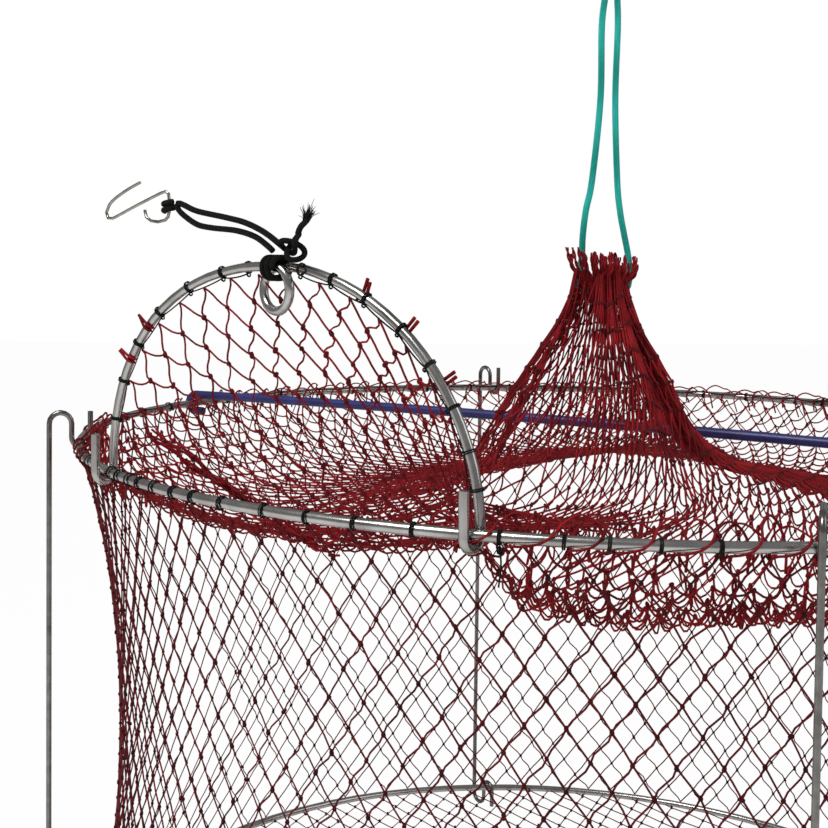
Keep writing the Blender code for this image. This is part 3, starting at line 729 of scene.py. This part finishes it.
def bellyPlace(share):
    left = share < 0
    rise = (drape["bellyLeftRise"] if left else drape["bellyRightRise"]) + drape["bellyDrop"]
    height = rise * abs(share) ** (2.0 if left else 1.6) - drape["bellyDrop"]
    inward = drape["bellyNear"] + drape["bellyDepth"] * (1 - abs(share) ** 3)
    return mouthPlace(drape["bellyShift"] + drape["bellyHalfWidth"] * share, inward, height)


def coneRise(distance):
    far, high = zip((trap["neckRadius"], trap["neck"][2]), *drape["coneShape"])
    return np.interp(distance, far, high)


def hoopToBelly(share):
    # the sheet from inside the hoop down to the belly's edge
    along, rise = archSpot(share * archFar[-1])
    top = mouthPlace(along * drape["hoopInset"], mouth["inward"], rise * drape["hoopInset"])
    edge = bellyPlace(drape["bellyFirst"] + (drape["bellyLast"] - drape["bellyFirst"]) * share)
    outward, up = drape["hoopBulge"]
    path = []
    for t in np.linspace(0.0, 1.0, 14)[:-1]:
        bulge = math.sin(math.pi * t) * (mouthOut * outward + upward * up * (1 - share))
        path.append(top * (1 - t) + edge * t - bulge)
    return path, edge


def edgeToNeck(edge, sag, skew):
    # the sheet from that edge through its slack, up the gathered cone and into the collar over the neck
    away = edge - neckFoot
    reach = math.hypot(away[0], away[1])
    heading = np.array([away[0] / reach, away[1] / reach, 0.0])
    lean = 1 - drape["coneLean"] * heading[0]
    start = drape["coneRadius"] * lean
    drop = drape["leftDrop"] * max(0.0, -heading[0]) ** 0.5
    base = coneRise(drape["coneRadius"]) - drop
    path = []
    for share in np.linspace(1.0, 0.0, 24)[:-1]:
        distance = start + (reach - start) * share
        rise = base + (away[2] - base) * share**1.5 - sag * math.sin(math.pi * share**skew)
        path.append(neckFoot + heading * distance + upward * rise)
    for distance in np.linspace(drape["coneRadius"], trap["neckRadius"], 16):
        low = drop * ((distance - trap["neckRadius"]) / (drape["coneRadius"] - trap["neckRadius"])) ** 3
        path.append(neckFoot + heading * (distance * lean) + upward * (coneRise(distance) - low))
    for rise in np.linspace(*drape["collar"], 8):
        wide = trap["neckRadius"] * lean + drape["collarFlare"] * (rise - trap["neck"][2])
        path.append(neckFoot + heading * wide + upward * rise)
    return path


def topPath(column):
    # one column's rest line, whether it hangs from the hoop, and how near the front its edge is
    column = column % columns
    first, last = leftHinge + drape["hingeInset"], rightHinge - drape["hingeInset"]
    if column < net["hoopColumns"]:
        degrees = first + (last - first) * column / net["hoopColumns"]
        path, edge = hoopToBelly(0.03 + 0.94 * (degrees - first) / (last - first))
        return np.array(path + edgeToNeck(edge, 0.0, 1.0)), True, 1.0
    around = (column - net["hoopColumns"]) / (columns - net["hoopColumns"])
    degrees = (last + (360 - last + first) * around) % 360
    edge = ringPlace(degrees, trap["ringRadius"] - drape["edgeInset"], topZ - drape["edgeDrop"])
    middle, spread = drape["front"]
    front = max(0.0, 1 - abs((degrees - middle) / spread)) ** 0.5
    sag = drape["backSag"] + (drape["frontSag"] - drape["backSag"]) * front
    return np.array(edgeToNeck(edge, sag, drape["skew"][0] + drape["skew"][1] * front)), False, front


def rowPlaces(path, onHoop, front, shift):
    # rows stand half a stretched mesh apart; those to spare are slack, near the edge or past the belly
    bar = net["topBar"]
    fine = evenly(path, 400)
    far = np.linspace(0.0, lineLength(path), 400)
    width = 2 * math.pi * np.hypot(fine[:, 0] - neckFoot[0], fine[:, 1] - neckFoot[1]) / columns
    if onHoop:
        width = np.where(far < 0.20, 0.030, width)
    tall = np.sqrt(np.maximum((bar * 0.99) ** 2 - (width / 2) ** 2, 0.012**2))
    wide = drape["backZone"] + (drape["slackZone"] * 2 - drape["backZone"]) * front
    middle, zone = (drape["hoopSlack"], drape["slackZone"]) if onHoop else (0.0, wide)
    loose = np.exp(-((far - middle) / zone) ** 2 * 2)
    rate = 1 / tall
    step = far[1] - far[0]
    spare = rows - rate.sum() * step
    rate = rate + max(spare, 0.0) * loose / (loose.sum() * step)
    count = np.r_[0.0, np.cumsum(0.5 * (rate[1:] + rate[:-1]))] * step
    share = np.linspace(0.0, 1.0, rows + 1)
    wanted = share * (count[-1] - 0.38) + shift * np.clip((share - 0.4) / 0.3, 0.0, 1.0)
    spots = np.stack([np.interp(wanted, count, fine[:, axis]) for axis in range(3)], axis=1)
    return spots, np.interp(wanted, count, loose) * min(max(spare, 0.0) / 4, 1.0)


def foldedCone(points, phase):
    # gathers the meshes near the neck into uneven pleats, most of them on the right
    away = points - neckFoot
    away[:, 2] = 0.0
    reach = np.linalg.norm(away, axis=1)
    turn = np.arctan2(away[:, 1], away[:, 0])
    near = np.clip((0.30 - reach) / 0.26, 0.0, 1.0)
    near = near * near * (3 - 2 * near)
    turn = turn - drape["pleat"] * near * np.sin(turn - drape["pleatTurn"])
    pleat = np.sin(9 * turn + 1.3) * 0.5 + np.sin(15 * turn + phase) * 0.3 + np.sin(23 * turn) * 0.2
    depth = drape["pleatDepth"] * near * np.clip((reach - 0.012) / 0.03, 0.0, 1.0)
    reach = reach * (1 + pleat * depth)
    return np.c_[neckFoot[0] + reach * np.cos(turn), neckFoot[1] + reach * np.sin(turn), points[:, 2]]


def restKnots():
    # where the top net's knots rest, how slack the net is at each, and which columns hang from the hoop
    guide = np.zeros((rows + 1, columns, 3))
    slack = np.zeros((rows + 1, columns, 1))
    hung = np.zeros(columns, bool)
    turns = np.arange(columns * 2) * math.pi / columns
    uneven = sum(size * np.sin(waves * turns + dice.uniform(0, 6.28))
                 for waves, size in ((7, 0.5), (12, 0.5), (21, 0.35), (33, 0.25)))
    uneven = np.clip(uneven, -1.0, 1.0) * drape["unevenRows"]
    for column in range(columns):
        for half in (0, 1):
            path, onHoop, front = topPath(column + 0.5 * half)
            spots, loose = rowPlaces(path, onHoop, front, uneven[2 * column + half])
            guide[half::2, column] = foldedCone(spots, 0.4)[half::2]
            slack[half::2, column, 0] = loose[half::2]
            if not half:
                hung[column] = onHoop
    guide[1:-1] += dice.normal(0, 1, guide[1:-1].shape) * (0.0008 + 0.0022 * slack[1:-1])
    return guide, slack, hung


def partner(field):
    # for each row, the knot in the next row that the second bar goes to
    other = np.empty((rows, columns, 3))
    other[0::2] = np.roll(field[1::2], 1, axis=1)[:len(other[0::2])]
    other[1::2] = np.roll(field[2::2], -1, axis=1)[:len(other[1::2])]
    return other


def give(field, change):
    # adds a change made to partner() places back to the knots they came from
    field[1::2][:len(change[0::2])] += np.roll(change[0::2], -1, axis=1)
    field[2::2][:len(change[1::2])] += np.roll(change[1::2], 1, axis=1)


def halfBarMove(middles, ends, loose):
    # how far half a bar that is too long pulls its middle back, and a quarter of that where it is too short
    gap = middles - ends
    size = np.linalg.norm(gap, axis=2, keepdims=True)
    over = (size - net["topBar"] / 2) / np.maximum(size, 1e-9)
    over = np.where(over > 0, over, 0.25 * over)
    return gap * over / (0.5 * loose + 1.0)


def relaxTopNet():
    # knots pulled to their rest places and free middles of bars hang under their weight, at one bar length
    guide, slack, hung = restKnots()
    knots = guide.copy()
    middles = [0.5 * (knots[:-1] + knots[1:]), 0.5 * (knots[:-1] + partner(knots))]
    for field in middles:
        field += dice.normal(0, drape["unevenBar"], field.shape)
    free = np.ones((rows + 1, columns, 1))
    free[0] = free[rows] = 0.0
    farFree = [free[1:], partner(np.repeat(free, 3, axis=2))[:, :, :1]]
    speeds = [np.zeros_like(knots), np.zeros_like(middles[0]), np.zeros_like(middles[1])]
    pull = np.array([0, 0, -9.8]) * drape["tick"] ** 2
    for step in range(drape["steps"]):
        before = [knots.copy(), middles[0].copy(), middles[1].copy()]
        knots = knots + (speeds[0] + pull) * free
        middles = [middles[0] + speeds[1] + pull, middles[1] + speeds[2] + pull]
        for again in range(drape["passes"]):
            for which in (0, 1):
                move = halfBarMove(middles[which], knots[:-1], free[:-1])
                knots[:-1] += move * 0.5 * free[:-1]
                field = middles[which] - move
                move = halfBarMove(field, partner(knots) if which else knots[1:], farFree[which])
                if which:
                    give(knots, move * 0.5 * farFree[which])
                else:
                    knots[1:] += move * 0.5 * farFree[which]
                middles[which] = field - move
        knots += (guide - knots) * drape["hold"] * (1 - (1 - drape["slackHold"]) * slack) * free
        speeds = [(now - then) * drape["damping"] for now, then in zip([knots] + middles, before)]
    return knots, middles, hung


def pushOffPosts(points):
    # moves net points sideways off the wires that stand up beside the rim, which the lifted frame slides past
    for name in ("strut_left", "strut_right", "strut_back", "strut_front"):
        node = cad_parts[name]
        places = np.array([node.matrix_world @ v.co for v in node.data.vertices])
        inside = np.hypot(places[:, 0], places[:, 1]) < trap["ringRadius"] - trap["ringRod"] / 2
        post = places[inside & (places[:, 2] > topZ - 0.02)]
        if not len(post):
            continue
        away = points[..., :2] - post.mean(axis=0)[:2]
        far = np.maximum(np.linalg.norm(away, axis=-1, keepdims=True), 1e-6)
        points[..., :2] += away / far * np.maximum(drape["postGap"] - far, 0.0)
    return points


def makeTopNet():
    knots, middles, hung = relaxTopNet()
    knots = pushOffPosts(knots)
    middles = [pushOffPosts(field) for field in middles]
    ring, cone, door = [], [], []
    for row in range(rows):
        for column in range(columns):
            shift = -1 if row % 2 == 0 else 1
            for which, other in ((0, column), (1, (column + shift) % columns)):
                a, b = knots[row, column], knots[row + 1, other]
                if (hung[column] or hung[other]) and row < drape["doorRows"]:
                    # the bars that lean to the left foot are the slack ones
                    side = knots[row, (column + 1) % columns] - a
                    loose = 1.0 if which != row % 2 else 0.25
                    swing = side / np.linalg.norm(side) * drape["swing"] * loose * dice.uniform(0.4, 1.4)
                    middle = (a + b) / 2 * 0.6 + middles[which][row, column] * 0.4
                    door.append(barLine(a, middle, b, swing))
                else:
                    group = cone if row >= drape["coneRows"] else ring
                    group.append(barLine(a, middles[which][row, column], b))
    top = makeTwine("topNet", ring, net["topTwine"], redTwine)
    coneNet = makeTwine("coneNet", cone, net["topTwine"], redTwine)
    hoopNet = makeTwine("hoopNet", door, net["topTwine"], redTwine)
    isDoor = np.zeros((rows + 1, columns), bool)
    isDoor[:drape["doorRows"], hung] = True
    body = np.zeros((rows + 1, columns), bool)
    body[1:rows] = True
    # the knots are painted darker than their twine, as shade between their turns
    topKnots = makeKnots("topNetKnots", knots[body & ~isDoor], net["knot"] * net["topKnot"], shadedRedKnot)
    hoopKnots = makeKnots("hoopNetKnots", knots[body & isDoor], net["knot"] * net["hoopKnot"], shadedRedKnot)
    carry("top_frame", "red_twine", top, coneNet, topKnots)
    for piece in (hoopNet, hoopKnots):
        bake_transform(piece)
    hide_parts("top_net")
    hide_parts("top_net")
    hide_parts("door_net")


makeTopNet()
print("stage: top net made")

floorNet = {"across": 0.0256, "along": 0.0400, "radius": 0.466, "sag": 0.010, "uneven": 0.0005}


def sunk(x, y):
    share = np.clip((x * x + y * y) / trap["ringRadius"] ** 2, 0, 1)
    return bottomZ - floorNet["sag"] * (1 - share)


def rimCrossing(inside, outside):
    # the last point inside the rim on the way to one outside it, by halving
    low, high = 0.0, 1.0
    for halving in range(12):
        share = (low + high) / 2
        if np.hypot(*(inside + (outside - inside) * share)) < floorNet["radius"]:
            low = share
        else:
            high = share
    return inside + (outside - inside) * low


def makeFloorNet():
    # a sheet of diamond meshes that sags a little and ends just inside the bottom ring
    across, along, radius = floorNet["across"], floorNet["along"], floorNet["radius"]
    lines = []
    knots = set()
    count = int(2 * radius / along) + int(2 * radius / across) + 4
    for way in (1, -1):
        for number in range(-count, count + 1):
            spots = []
            for k in range(-count, count + 1):
                x, y = (number + k) * across / 2 * way, (k - number) * along / 2
                if math.hypot(x, y) < radius:
                    spots.append(np.array((x, y)))
                    knots.add((round(x, 5), round(y, 5)))
            if len(spots) > 1:
                step = spots[1] - spots[0]
                first = rimCrossing(spots[0], spots[0] - step)
                last = rimCrossing(spots[-1], spots[-1] + step)
                flat = np.array([first, *spots, last])
                uneven = dice.normal(0, floorNet["uneven"], len(flat))
                lines.append(np.c_[flat, sunk(flat[:, 0], flat[:, 1]) + uneven])
    # the floor net takes the same twine painted darker as shade
    floor = makeTwine("floorNet", lines, net["twine"], shadedWallTwine)
    flat = np.array(sorted(knots))
    lumps = makeKnots("floorNetKnots", np.c_[flat, sunk(flat[:, 0], flat[:, 1])], net["knot"], shadedWallKnot)
    carry("base", "red_twine", floor, lumps)
    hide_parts("bottom_net")


makeFloorNet()
print("stage: floor net made")

tufts = {
    "twine": 0.0017,
    "count": 58,
    "foot": (0.013, 0.132),  # distances from the neck's middle and rises
    "waist": (0.016, 0.146),
    "top": 0.182,
    "ragged": 0.007,
    "rightDrop": 0.013,
    "leftReach": 0.038,
    "rightReach": 0.027,
    "unevenReach": 0.005,
    "lean": 0.002,
    "rightFull": 0.0035,
    "inner": (1.0, 0.35, 0.7),  # every third tuft stands outermost
    "sparse": 0.35,  # to the left of this, every second one is left out
    "twist": 0.0009,
}


def makeTufts():
    # the cut ends of the meshes stand out of the gather two by two, twisted together, densest at its right
    lines, widths = [], []
    (footWide, foot), (waistWide, waist) = tufts["foot"], tufts["waist"]
    for k in range(tufts["count"]):
        turn = 2 * math.pi * (k + dice.uniform(-0.4, 0.4)) / tufts["count"]
        out = np.array([math.cos(turn), math.sin(turn), 0.0])
        left = max(0.0, -out[0])
        inner = tufts["inner"][k % 3]
        if left > tufts["sparse"] and k % 2:
            continue
        tall = tufts["top"] - dice.uniform(0.0, tufts["ragged"])
        tall -= tufts["rightDrop"] * (1 - left) * dice.uniform(0.3, 1.0)
        wide = (tufts["rightReach"] + (tufts["leftReach"] - tufts["rightReach"]) * left) * inner
        wide -= dice.uniform(0.0, tufts["unevenReach"])
        lean = np.array([dice.normal(0, tufts["lean"]), dice.normal(0, tufts["lean"]), 0.0])
        full = np.array([tufts["rightFull"] * (1 - left), 0.0, 0.0])
        bend = out * (0.012 * inner + wide * 0.5) + full + lean * 0.6
        spine = smoothLine([
            neckFoot + out * footWide * inner + upward * foot,
            neckFoot + out * waistWide * inner + full + upward * waist,
            neckFoot + bend + upward * (waist * 0.45 + tall * 0.55),
            neckFoot + out * wide + full + lean + upward * tall,
        ], 0.0022)
        side = np.cross(out, upward)
        steps = np.arange(len(spine))[:, None] * 0.75 + dice.uniform(0, 6)
        for half in (0.0, math.pi):
            swing = (side * np.cos(steps + half) + out * np.sin(steps + half)) * tufts["twist"]
            lines.append(spine + swing)
            widths.append(np.r_[np.ones(len(spine) - 1), 0.8])
    ends = makeTwine("neckTufts", lines, tufts["twine"], redTwine, widths, rounding=1)
    carry("top_frame", "red_twine", ends)


makeTufts()
print("stage: tufts made")

# Places on the ring are degrees round it, places on the hoop are shares of its length
lashing = {
    "twine": 0.0012,
    "turns": 2,
    "gap": 0.0003,
    "nearPlaces": [203.6, 205.6, 207.9, 210.0, 212.6, 215.8, 218.7, 222.4, 227.2, 231.6, 236.0, 241.0,
                   247.8, 252.6, 255.9, 259.6, 263.9],
    "farPlaces": (270.0, 560.0, 6.1),
    "keepOff": 2.0,
    "keepOffHinge": 1.6,
    "cutEnds": [(leftHinge - 1.6, 0.011), (rightHinge + 2.2, 0.026)],  # a place and how far the end hangs
    "hoopPlaces": [0.075, 0.135, 0.20, 0.265, 0.335, 0.405, 0.455, 0.55, 0.605, 0.665, 0.73, 0.79, 0.85,
                   0.905, 0.95],
    "hoopGap": 0.09,  # no twine runs between places further apart than this
    "stubs": [(-0.158, 0.092), (-0.137, 0.119), (0.081, 0.154), (0.120, 0.131), (0.153, 0.098)],
    "stubTwine": 0.0024,
    "stubApart": 0.0017,
}


def coilLine(middle, outward, above, heading, reach, start=45.0):
    # turns of twine round a rod; outward and above cross the rod, heading runs along it
    turns, pitch = lashing["turns"], lashing["twine"] * 1.1
    points = []
    for k in range(turns * 10 + 1):
        turn = math.radians(start) + 2 * math.pi * k / 10
        across = outward * (reach * math.cos(turn)) + above * (reach * math.sin(turn))
        points.append(middle + across + heading * ((k / 10 - turns / 2) * pitch))
    return points


def hitchLump(place, size):
    # the small tight knot that holds each lashing
    turn = np.linspace(0.0, 4 * math.pi, 15)[:, None]
    a, b, c = np.array([1.0, 0.3, 0.1]), np.array([-0.2, 0.4, 1.0]), np.array([0.1, 0.5, 0.1])
    return place + size * (a * np.cos(turn) + b * np.sin(turn) + c * np.sin(turn * 0.5))


def anyWithin(degrees, places, reach):
    return any(abs((degrees - place + 180) % 360 - 180) < reach for place in places)


def makeRimLashings():
    # black twine lashed round the ring at each place and run along its inside between them
    reach = trap["ringRod"] / 2 + lashing["gap"] + lashing["twine"] / 2
    lines, line = [], []
    farPlaces = np.arange(*lashing["farPlaces"])
    farPlaces = farPlaces + dice.uniform(-1.2, 1.2, len(farPlaces))
    for degrees in lashing["nearPlaces"] + list(farPlaces):
        onWire = anyWithin(degrees, trap["struts"] + trap["barEnds"], lashing["keepOff"])
        if onWire or anyWithin(degrees, (leftHinge, rightHinge), lashing["keepOffHinge"]):
            if len(line) > 1:
                lines.append(np.array(line))
            line = []
            continue
        inward = -ringPlace(degrees, 1.0, 0.0)
        heading = np.cross(inward, upward)
        heading = heading + inward * dice.uniform(-0.3, 0.3) + upward * dice.uniform(-0.25, 0.25)
        middle = ringPlace(degrees, trap["ringRadius"], topZ)
        if line:
            for share in np.linspace(0.0, 1.0, 5)[1:-1]:
                between = previous + (degrees - previous) * share
                spot = ringPlace(between, trap["ringRadius"] - reach * 0.85, topZ + reach * 0.6)
                line.append(spot - upward * 0.0012 * math.sin(math.pi * share))
        line += coilLine(middle, inward, upward, -heading, reach)
        lines.append(hitchLump(middle + inward * (reach + 0.0008) - upward * 0.002, 0.0011))
        previous = degrees
    if len(line) > 1:
        lines.append(np.array(line))
    for degrees, drop in lashing["cutEnds"]:
        top = ringPlace(degrees, trap["ringRadius"] + reach * 0.5, topZ - reach)
        lines += [hitchLump(top - upward * 0.001, 0.0022), hitchLump(top - upward * 0.003, 0.0019)]
        ends = [top, top + [0.0008, -0.0004, -drop * 0.5], top + [-0.0006, -0.0006, -drop]]
        lines.append(smoothLine(ends, 0.003))
    rim = makeTwine("rimLashings", lines, lashing["twine"], blackTwine)
    carry("top_frame", "black_twine", rim)
    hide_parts("mouth_lacing", "rim_lacing")


def hoopFrame(share):
    # a place on the hoop's rod, the way along it and the way in towards the mouth's middle
    spot = share * archFar[-1]
    along, rise = archSpot(spot)
    after = archSpot(spot + 0.002)
    heading = mouthAlong * (after[0] - along) + upward * (after[1] - rise)
    heading /= np.linalg.norm(heading)
    inward = np.cross(heading, mouthOut)
    inward /= np.linalg.norm(inward)
    middle = mouthPlace(along, mouth["inward"], rise)
    if inward @ (mouthPlace(0, mouth["inward"], 0.05) - middle) < 0:
        inward = -inward
    return middle, heading, inward


def makeHoopLashings():
    # the same twine round the hoop, run along its inner side from mesh to mesh
    reach = mouth["rod"] / 2 + lashing["gap"] + lashing["twine"] / 2
    lines, line = [], []
    before = None
    for share in lashing["hoopPlaces"]:
        if before and share - before < lashing["hoopGap"]:
            for between in np.linspace(before, share, 7)[1:-1]:
                middle, heading, inward = hoopFrame(between)
                bow = math.sin(math.pi * (between - before) / (share - before))
                line.append(middle + inward * (reach + 0.0016 * bow))
        elif before:
            lines.append(np.array(line))
            line = []
        middle, heading, inward = hoopFrame(share)
        line += coilLine(middle, inward, -mouthOut, heading, reach, 0.0)
        lines.append(hitchLump(middle + inward * (reach + 0.001), 0.0012))
        before = share
    lines.append(np.array(line))
    carry("door", "black_twine", makeTwine("hoopLashings", lines, lashing["twine"], blackTwine))


def makeHoopTwineEnds():
    # red ends tied over the hoop's rod, two by two, which stick out beyond it
    stubs, widths = [], []
    shares = np.linspace(0.04, 0.96, 461)
    rod = np.array([hoopFrame(share)[0] for share in shares])
    reach = mouth["rod"] / 2 + lashing["stubTwine"] / 2 + 0.0002
    for along, rise in lashing["stubs"]:
        nearest = np.argmin(np.linalg.norm(rod - mouthPlace(along, mouth["inward"], rise), axis=1))
        middle, heading, inward = hoopFrame(shares[nearest])
        face = mouthOut if along < 0 else -mouthOut
        for side in (-lashing["stubApart"], lashing["stubApart"]):
            line = []
            for turn in (0.0, 0.6, 1.2, 1.8):
                line.append(middle + inward * reach * math.cos(turn) + face * reach * math.sin(turn))
            out = -inward + heading * dice.uniform(-0.25, 0.25)
            line += [line[-1] + out * 0.003, line[-1] + out * dice.uniform(0.008, 0.010)]
            stubs.append(np.array(line) + heading * side)
            widths.append([0.8, 1.0, 1.0, 1.0, 1.0, 1.1])
    ends = makeTwine("hoopTwineEnds", stubs, lashing["stubTwine"], redTwine, widths, rounding=1)
    carry("door", "red_twine", ends)


# Runs of places round the rim in degrees, each with the size of its loops
rimLoops = {
    "near": ([244.2, 247.8, 252.6, 255.9, 259.6, 263.9, 267.3, 271.0, 274.6, 278.2, 281.9, 285.5], 1.0),
    "left": ([168.0, 171.5, 174.5, 183.0, 186.0, 189.0, 192.0, 194.5], 1.2),
    "back": ((22.0, 150.0, 4.6), 0.75),  # the first, the last and the step
    "widest": 6,
    "lift": (0.012, 0.018),
    "twine": 0.0018,
}


def makeRimLoops():
    # the wide edge meshes swing round the outside of the rim and arch up inside it
    reach = trap["ringRod"] / 2 + rimLoops["twine"] / 2 + 0.0004
    lines = []
    back = np.arange(*rimLoops["back"][0])
    back = back + dice.uniform(-0.6, 0.6, len(back))
    for run, size in (rimLoops["near"], rimLoops["left"], (back, rimLoops["back"][1])):
        for here, after in zip(run[:-1], run[1:]):
            if after - here > rimLoops["widest"]:
                continue
            lift = dice.uniform(*rimLoops["lift"]) * size
            # a share of the way to the next place, how far outward, and a rise
            over = [
                (0.02, -0.002, -reach - 0.006), (0.12, reach * 0.5, -reach),
                (0.38, reach * 0.8, -reach * 0.75), (0.66, reach, -0.001),
                (0.84, reach * 0.6, reach * 0.8), (0.93, -0.003, reach + 0.003),
                (1.00, -0.009, lift * 0.7), (1.25, -0.015, lift), (1.50, -0.017, lift * 0.6),
                (1.62, -0.014, -0.003), (1.55, -0.009, -0.018),
            ]
            under = [
                (0.10, -0.002, -reach - 0.004), (0.06, -0.007, 0.002), (-0.10, -0.012, lift * 0.55),
                (-0.40, -0.016, lift * 0.8), (-0.70, -0.018, 0.002), (-0.78, -0.013, -0.015),
            ]
            for places in (over, under):
                lines.append(smoothLine([
                    ringPlace(here + (after - here) * turn, trap["ringRadius"] + outward, topZ + rise)
                    for turn, outward, rise in places
                ], 0.003))
    carry("top_frame", "red_twine", makeTwine("rimLoops", lines, rimLoops["twine"], redTwine))


makeRimLoops()
print("stage: rim loops made")

bellyFold = {"strands": 7, "first": -0.97, "last": 0.30, "step": 0.055, "spread": 0.0034, "twine": 0.0018}


def makeBellyFold():
    # where the sheet turns back under itself at the mouth, its meshes lie together like a loose rope
    spread = bellyFold["spread"]
    lines, lumps = [], []
    for strand in range(bellyFold["strands"]):
        late = dice.uniform(0.0, 0.15)
        early = dice.uniform(0.0, 0.45)
        shares = np.arange(bellyFold["first"] + late, bellyFold["last"] - early, bellyFold["step"])
        lift = dice.normal(0, spread)
        deep = dice.normal(0, spread)
        points = []
        for number, share in enumerate(shares):
            lift = 0.75 * lift + dice.normal(0, spread * 0.6)
            deep = 0.75 * deep + dice.normal(0, spread * 0.6)
            place = bellyPlace(share) + upward * (lift + 0.003) + mouthOut * deep
            points.append(place)
            if number % 2 == strand % 2:
                lumps.append(place)
        lines.append(smoothLine(points, 0.005))
    fold = makeTwine("bellyFold", lines, bellyFold["twine"], redTwine)
    knots = makeKnots("bellyFoldKnots", np.array(lumps), net["knot"], shadedRedKnot)
    carry("top_frame", "red_twine", fold, knots)


makeBellyFold()
makeRimLashings()
makeHoopLashings()
makeHoopTwineEnds()
print("stage: lashings made")

# Steel and hose


def wearCadNode(name, material):
    # the solids come with a vertex at each face's corner, so their shading is joined by place
    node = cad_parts[name]
    node.data.materials.clear()
    node.data.materials.append(material)
    mesh = node.data
    mesh.shade_smooth()
    keys = [tuple(round(c, 5) for c in v.co) for v in mesh.vertices]
    meeting = {}
    for face in mesh.polygons:
        for vertex in face.vertices:
            meeting.setdefault(keys[vertex], []).append((face.normal.copy(), face.area))
    normals = [None] * len(mesh.loops)
    for face in mesh.polygons:
        for corner in face.loop_indices:
            total = Vector()
            for normal, area in meeting[keys[mesh.loops[corner].vertex_index]]:
                if normal.dot(face.normal) > 0.35:  # a sharper edge stays sharp
                    total += normal * area
            normals[corner] = total.normalized()
    mesh.normals_split_custom_set(normals)


for rod in ("top_ring", "bottom_ring", "door_hoop", "spreader_core"):
    wearCadNode(rod, rodSteel)
# the struts wear the steel painted darker as shade
for strut in ("strut_left", "strut_right", "strut_back", "strut_front"):
    wearCadNode(strut, shadedStrutSteel)
wearCadNode("wire_hook", hookSteel)
wearCadNode("spreader_sleeve", navyHose)
print("stage: solids finished")

# Floor, light and background
studio = {
    "floor": (0.82, 0.82, 0.81),
    "floorSize": 9.0,
    "world": 0.52,
    "gloss": 0.20,
    "glow": 0.97,
    "keyLight": ((-1.4, -1.1, 2.9), 1.3, 44.0),  # place, size and power
    "fillLight": ((2.0, -1.0, 1.8), 1.6, 9.0),
    "aim": (0.0, 0.0, 0.45),
}


def makeFloor():
    bed = bmesh.new()
    bmesh.ops.create_grid(bed, x_segments=1, y_segments=1, size=studio["floorSize"])
    mesh = bpy.data.meshes.new("floor")
    bed.to_mesh(mesh)
    bed.free()
    floor = bpy.data.objects.new("floor", mesh)
    scene.collection.objects.link(floor)
    material, tree, shader = startMaterial("paleFloor", Roughness=0.8)
    shader.inputs["Base Color"].default_value = (*studio["floor"], 1.0)
    glow = addNode(tree, "ShaderNodeEmission", Color=(1.0, 1.0, 1.0, 1.0))
    path = addNode(tree, "ShaderNodeLightPath")
    mix = addNode(tree, "ShaderNodeMixShader")
    tree.links.new(reckon(tree, "MULTIPLY", path.outputs["Is Camera Ray"], studio["glow"]), mix.inputs["Fac"])
    tree.links.new(shader.outputs["BSDF"], mix.inputs[1])
    tree.links.new(glow.outputs["Emission"], mix.inputs[2])
    tree.links.new(mix.outputs["Shader"], tree.nodes["Material Output"].inputs["Surface"])
    mesh.materials.append(material)


def makeSky():
    # white to the camera and to rays let through, soft grey as light, darker in reflections
    world = bpy.data.worlds.new("studioSky")
    scene.world = world
    world.use_nodes = True
    tree = world.node_tree
    path = addNode(tree, "ShaderNodeLightPath")
    both = reckon(tree, "MAXIMUM", path.outputs["Is Camera Ray"], path.outputs["Is Transmission Ray"])
    level = remap(tree, both, low=studio["world"], high=1.0)
    darker = studio["gloss"] - studio["world"]
    strength = reckon(tree, "MULTIPLY_ADD", path.outputs["Is Glossy Ray"], darker, level)
    ground = tree.nodes["Background"]
    ground.inputs["Color"].default_value = (1.0, 1.0, 1.0, 1.0)
    tree.links.new(strength, ground.inputs["Strength"])


def makeLamps():
    for name in ("keyLight", "fillLight"):
        place, size, power = studio[name]
        lamp = bpy.data.lights.new(name, "AREA")
        lamp.energy = power
        lamp.size = size
        holder = bpy.data.objects.new(name, lamp)
        scene.collection.objects.link(holder)
        holder.location = place
        aim = Vector(studio["aim"]) - Vector(place)
        holder.rotation_euler = aim.to_track_quat("-Z", "Y").to_euler()


makeFloor()
makeSky()
makeLamps()
scene.view_settings.view_transform = "Standard"
print("stage: studio made")
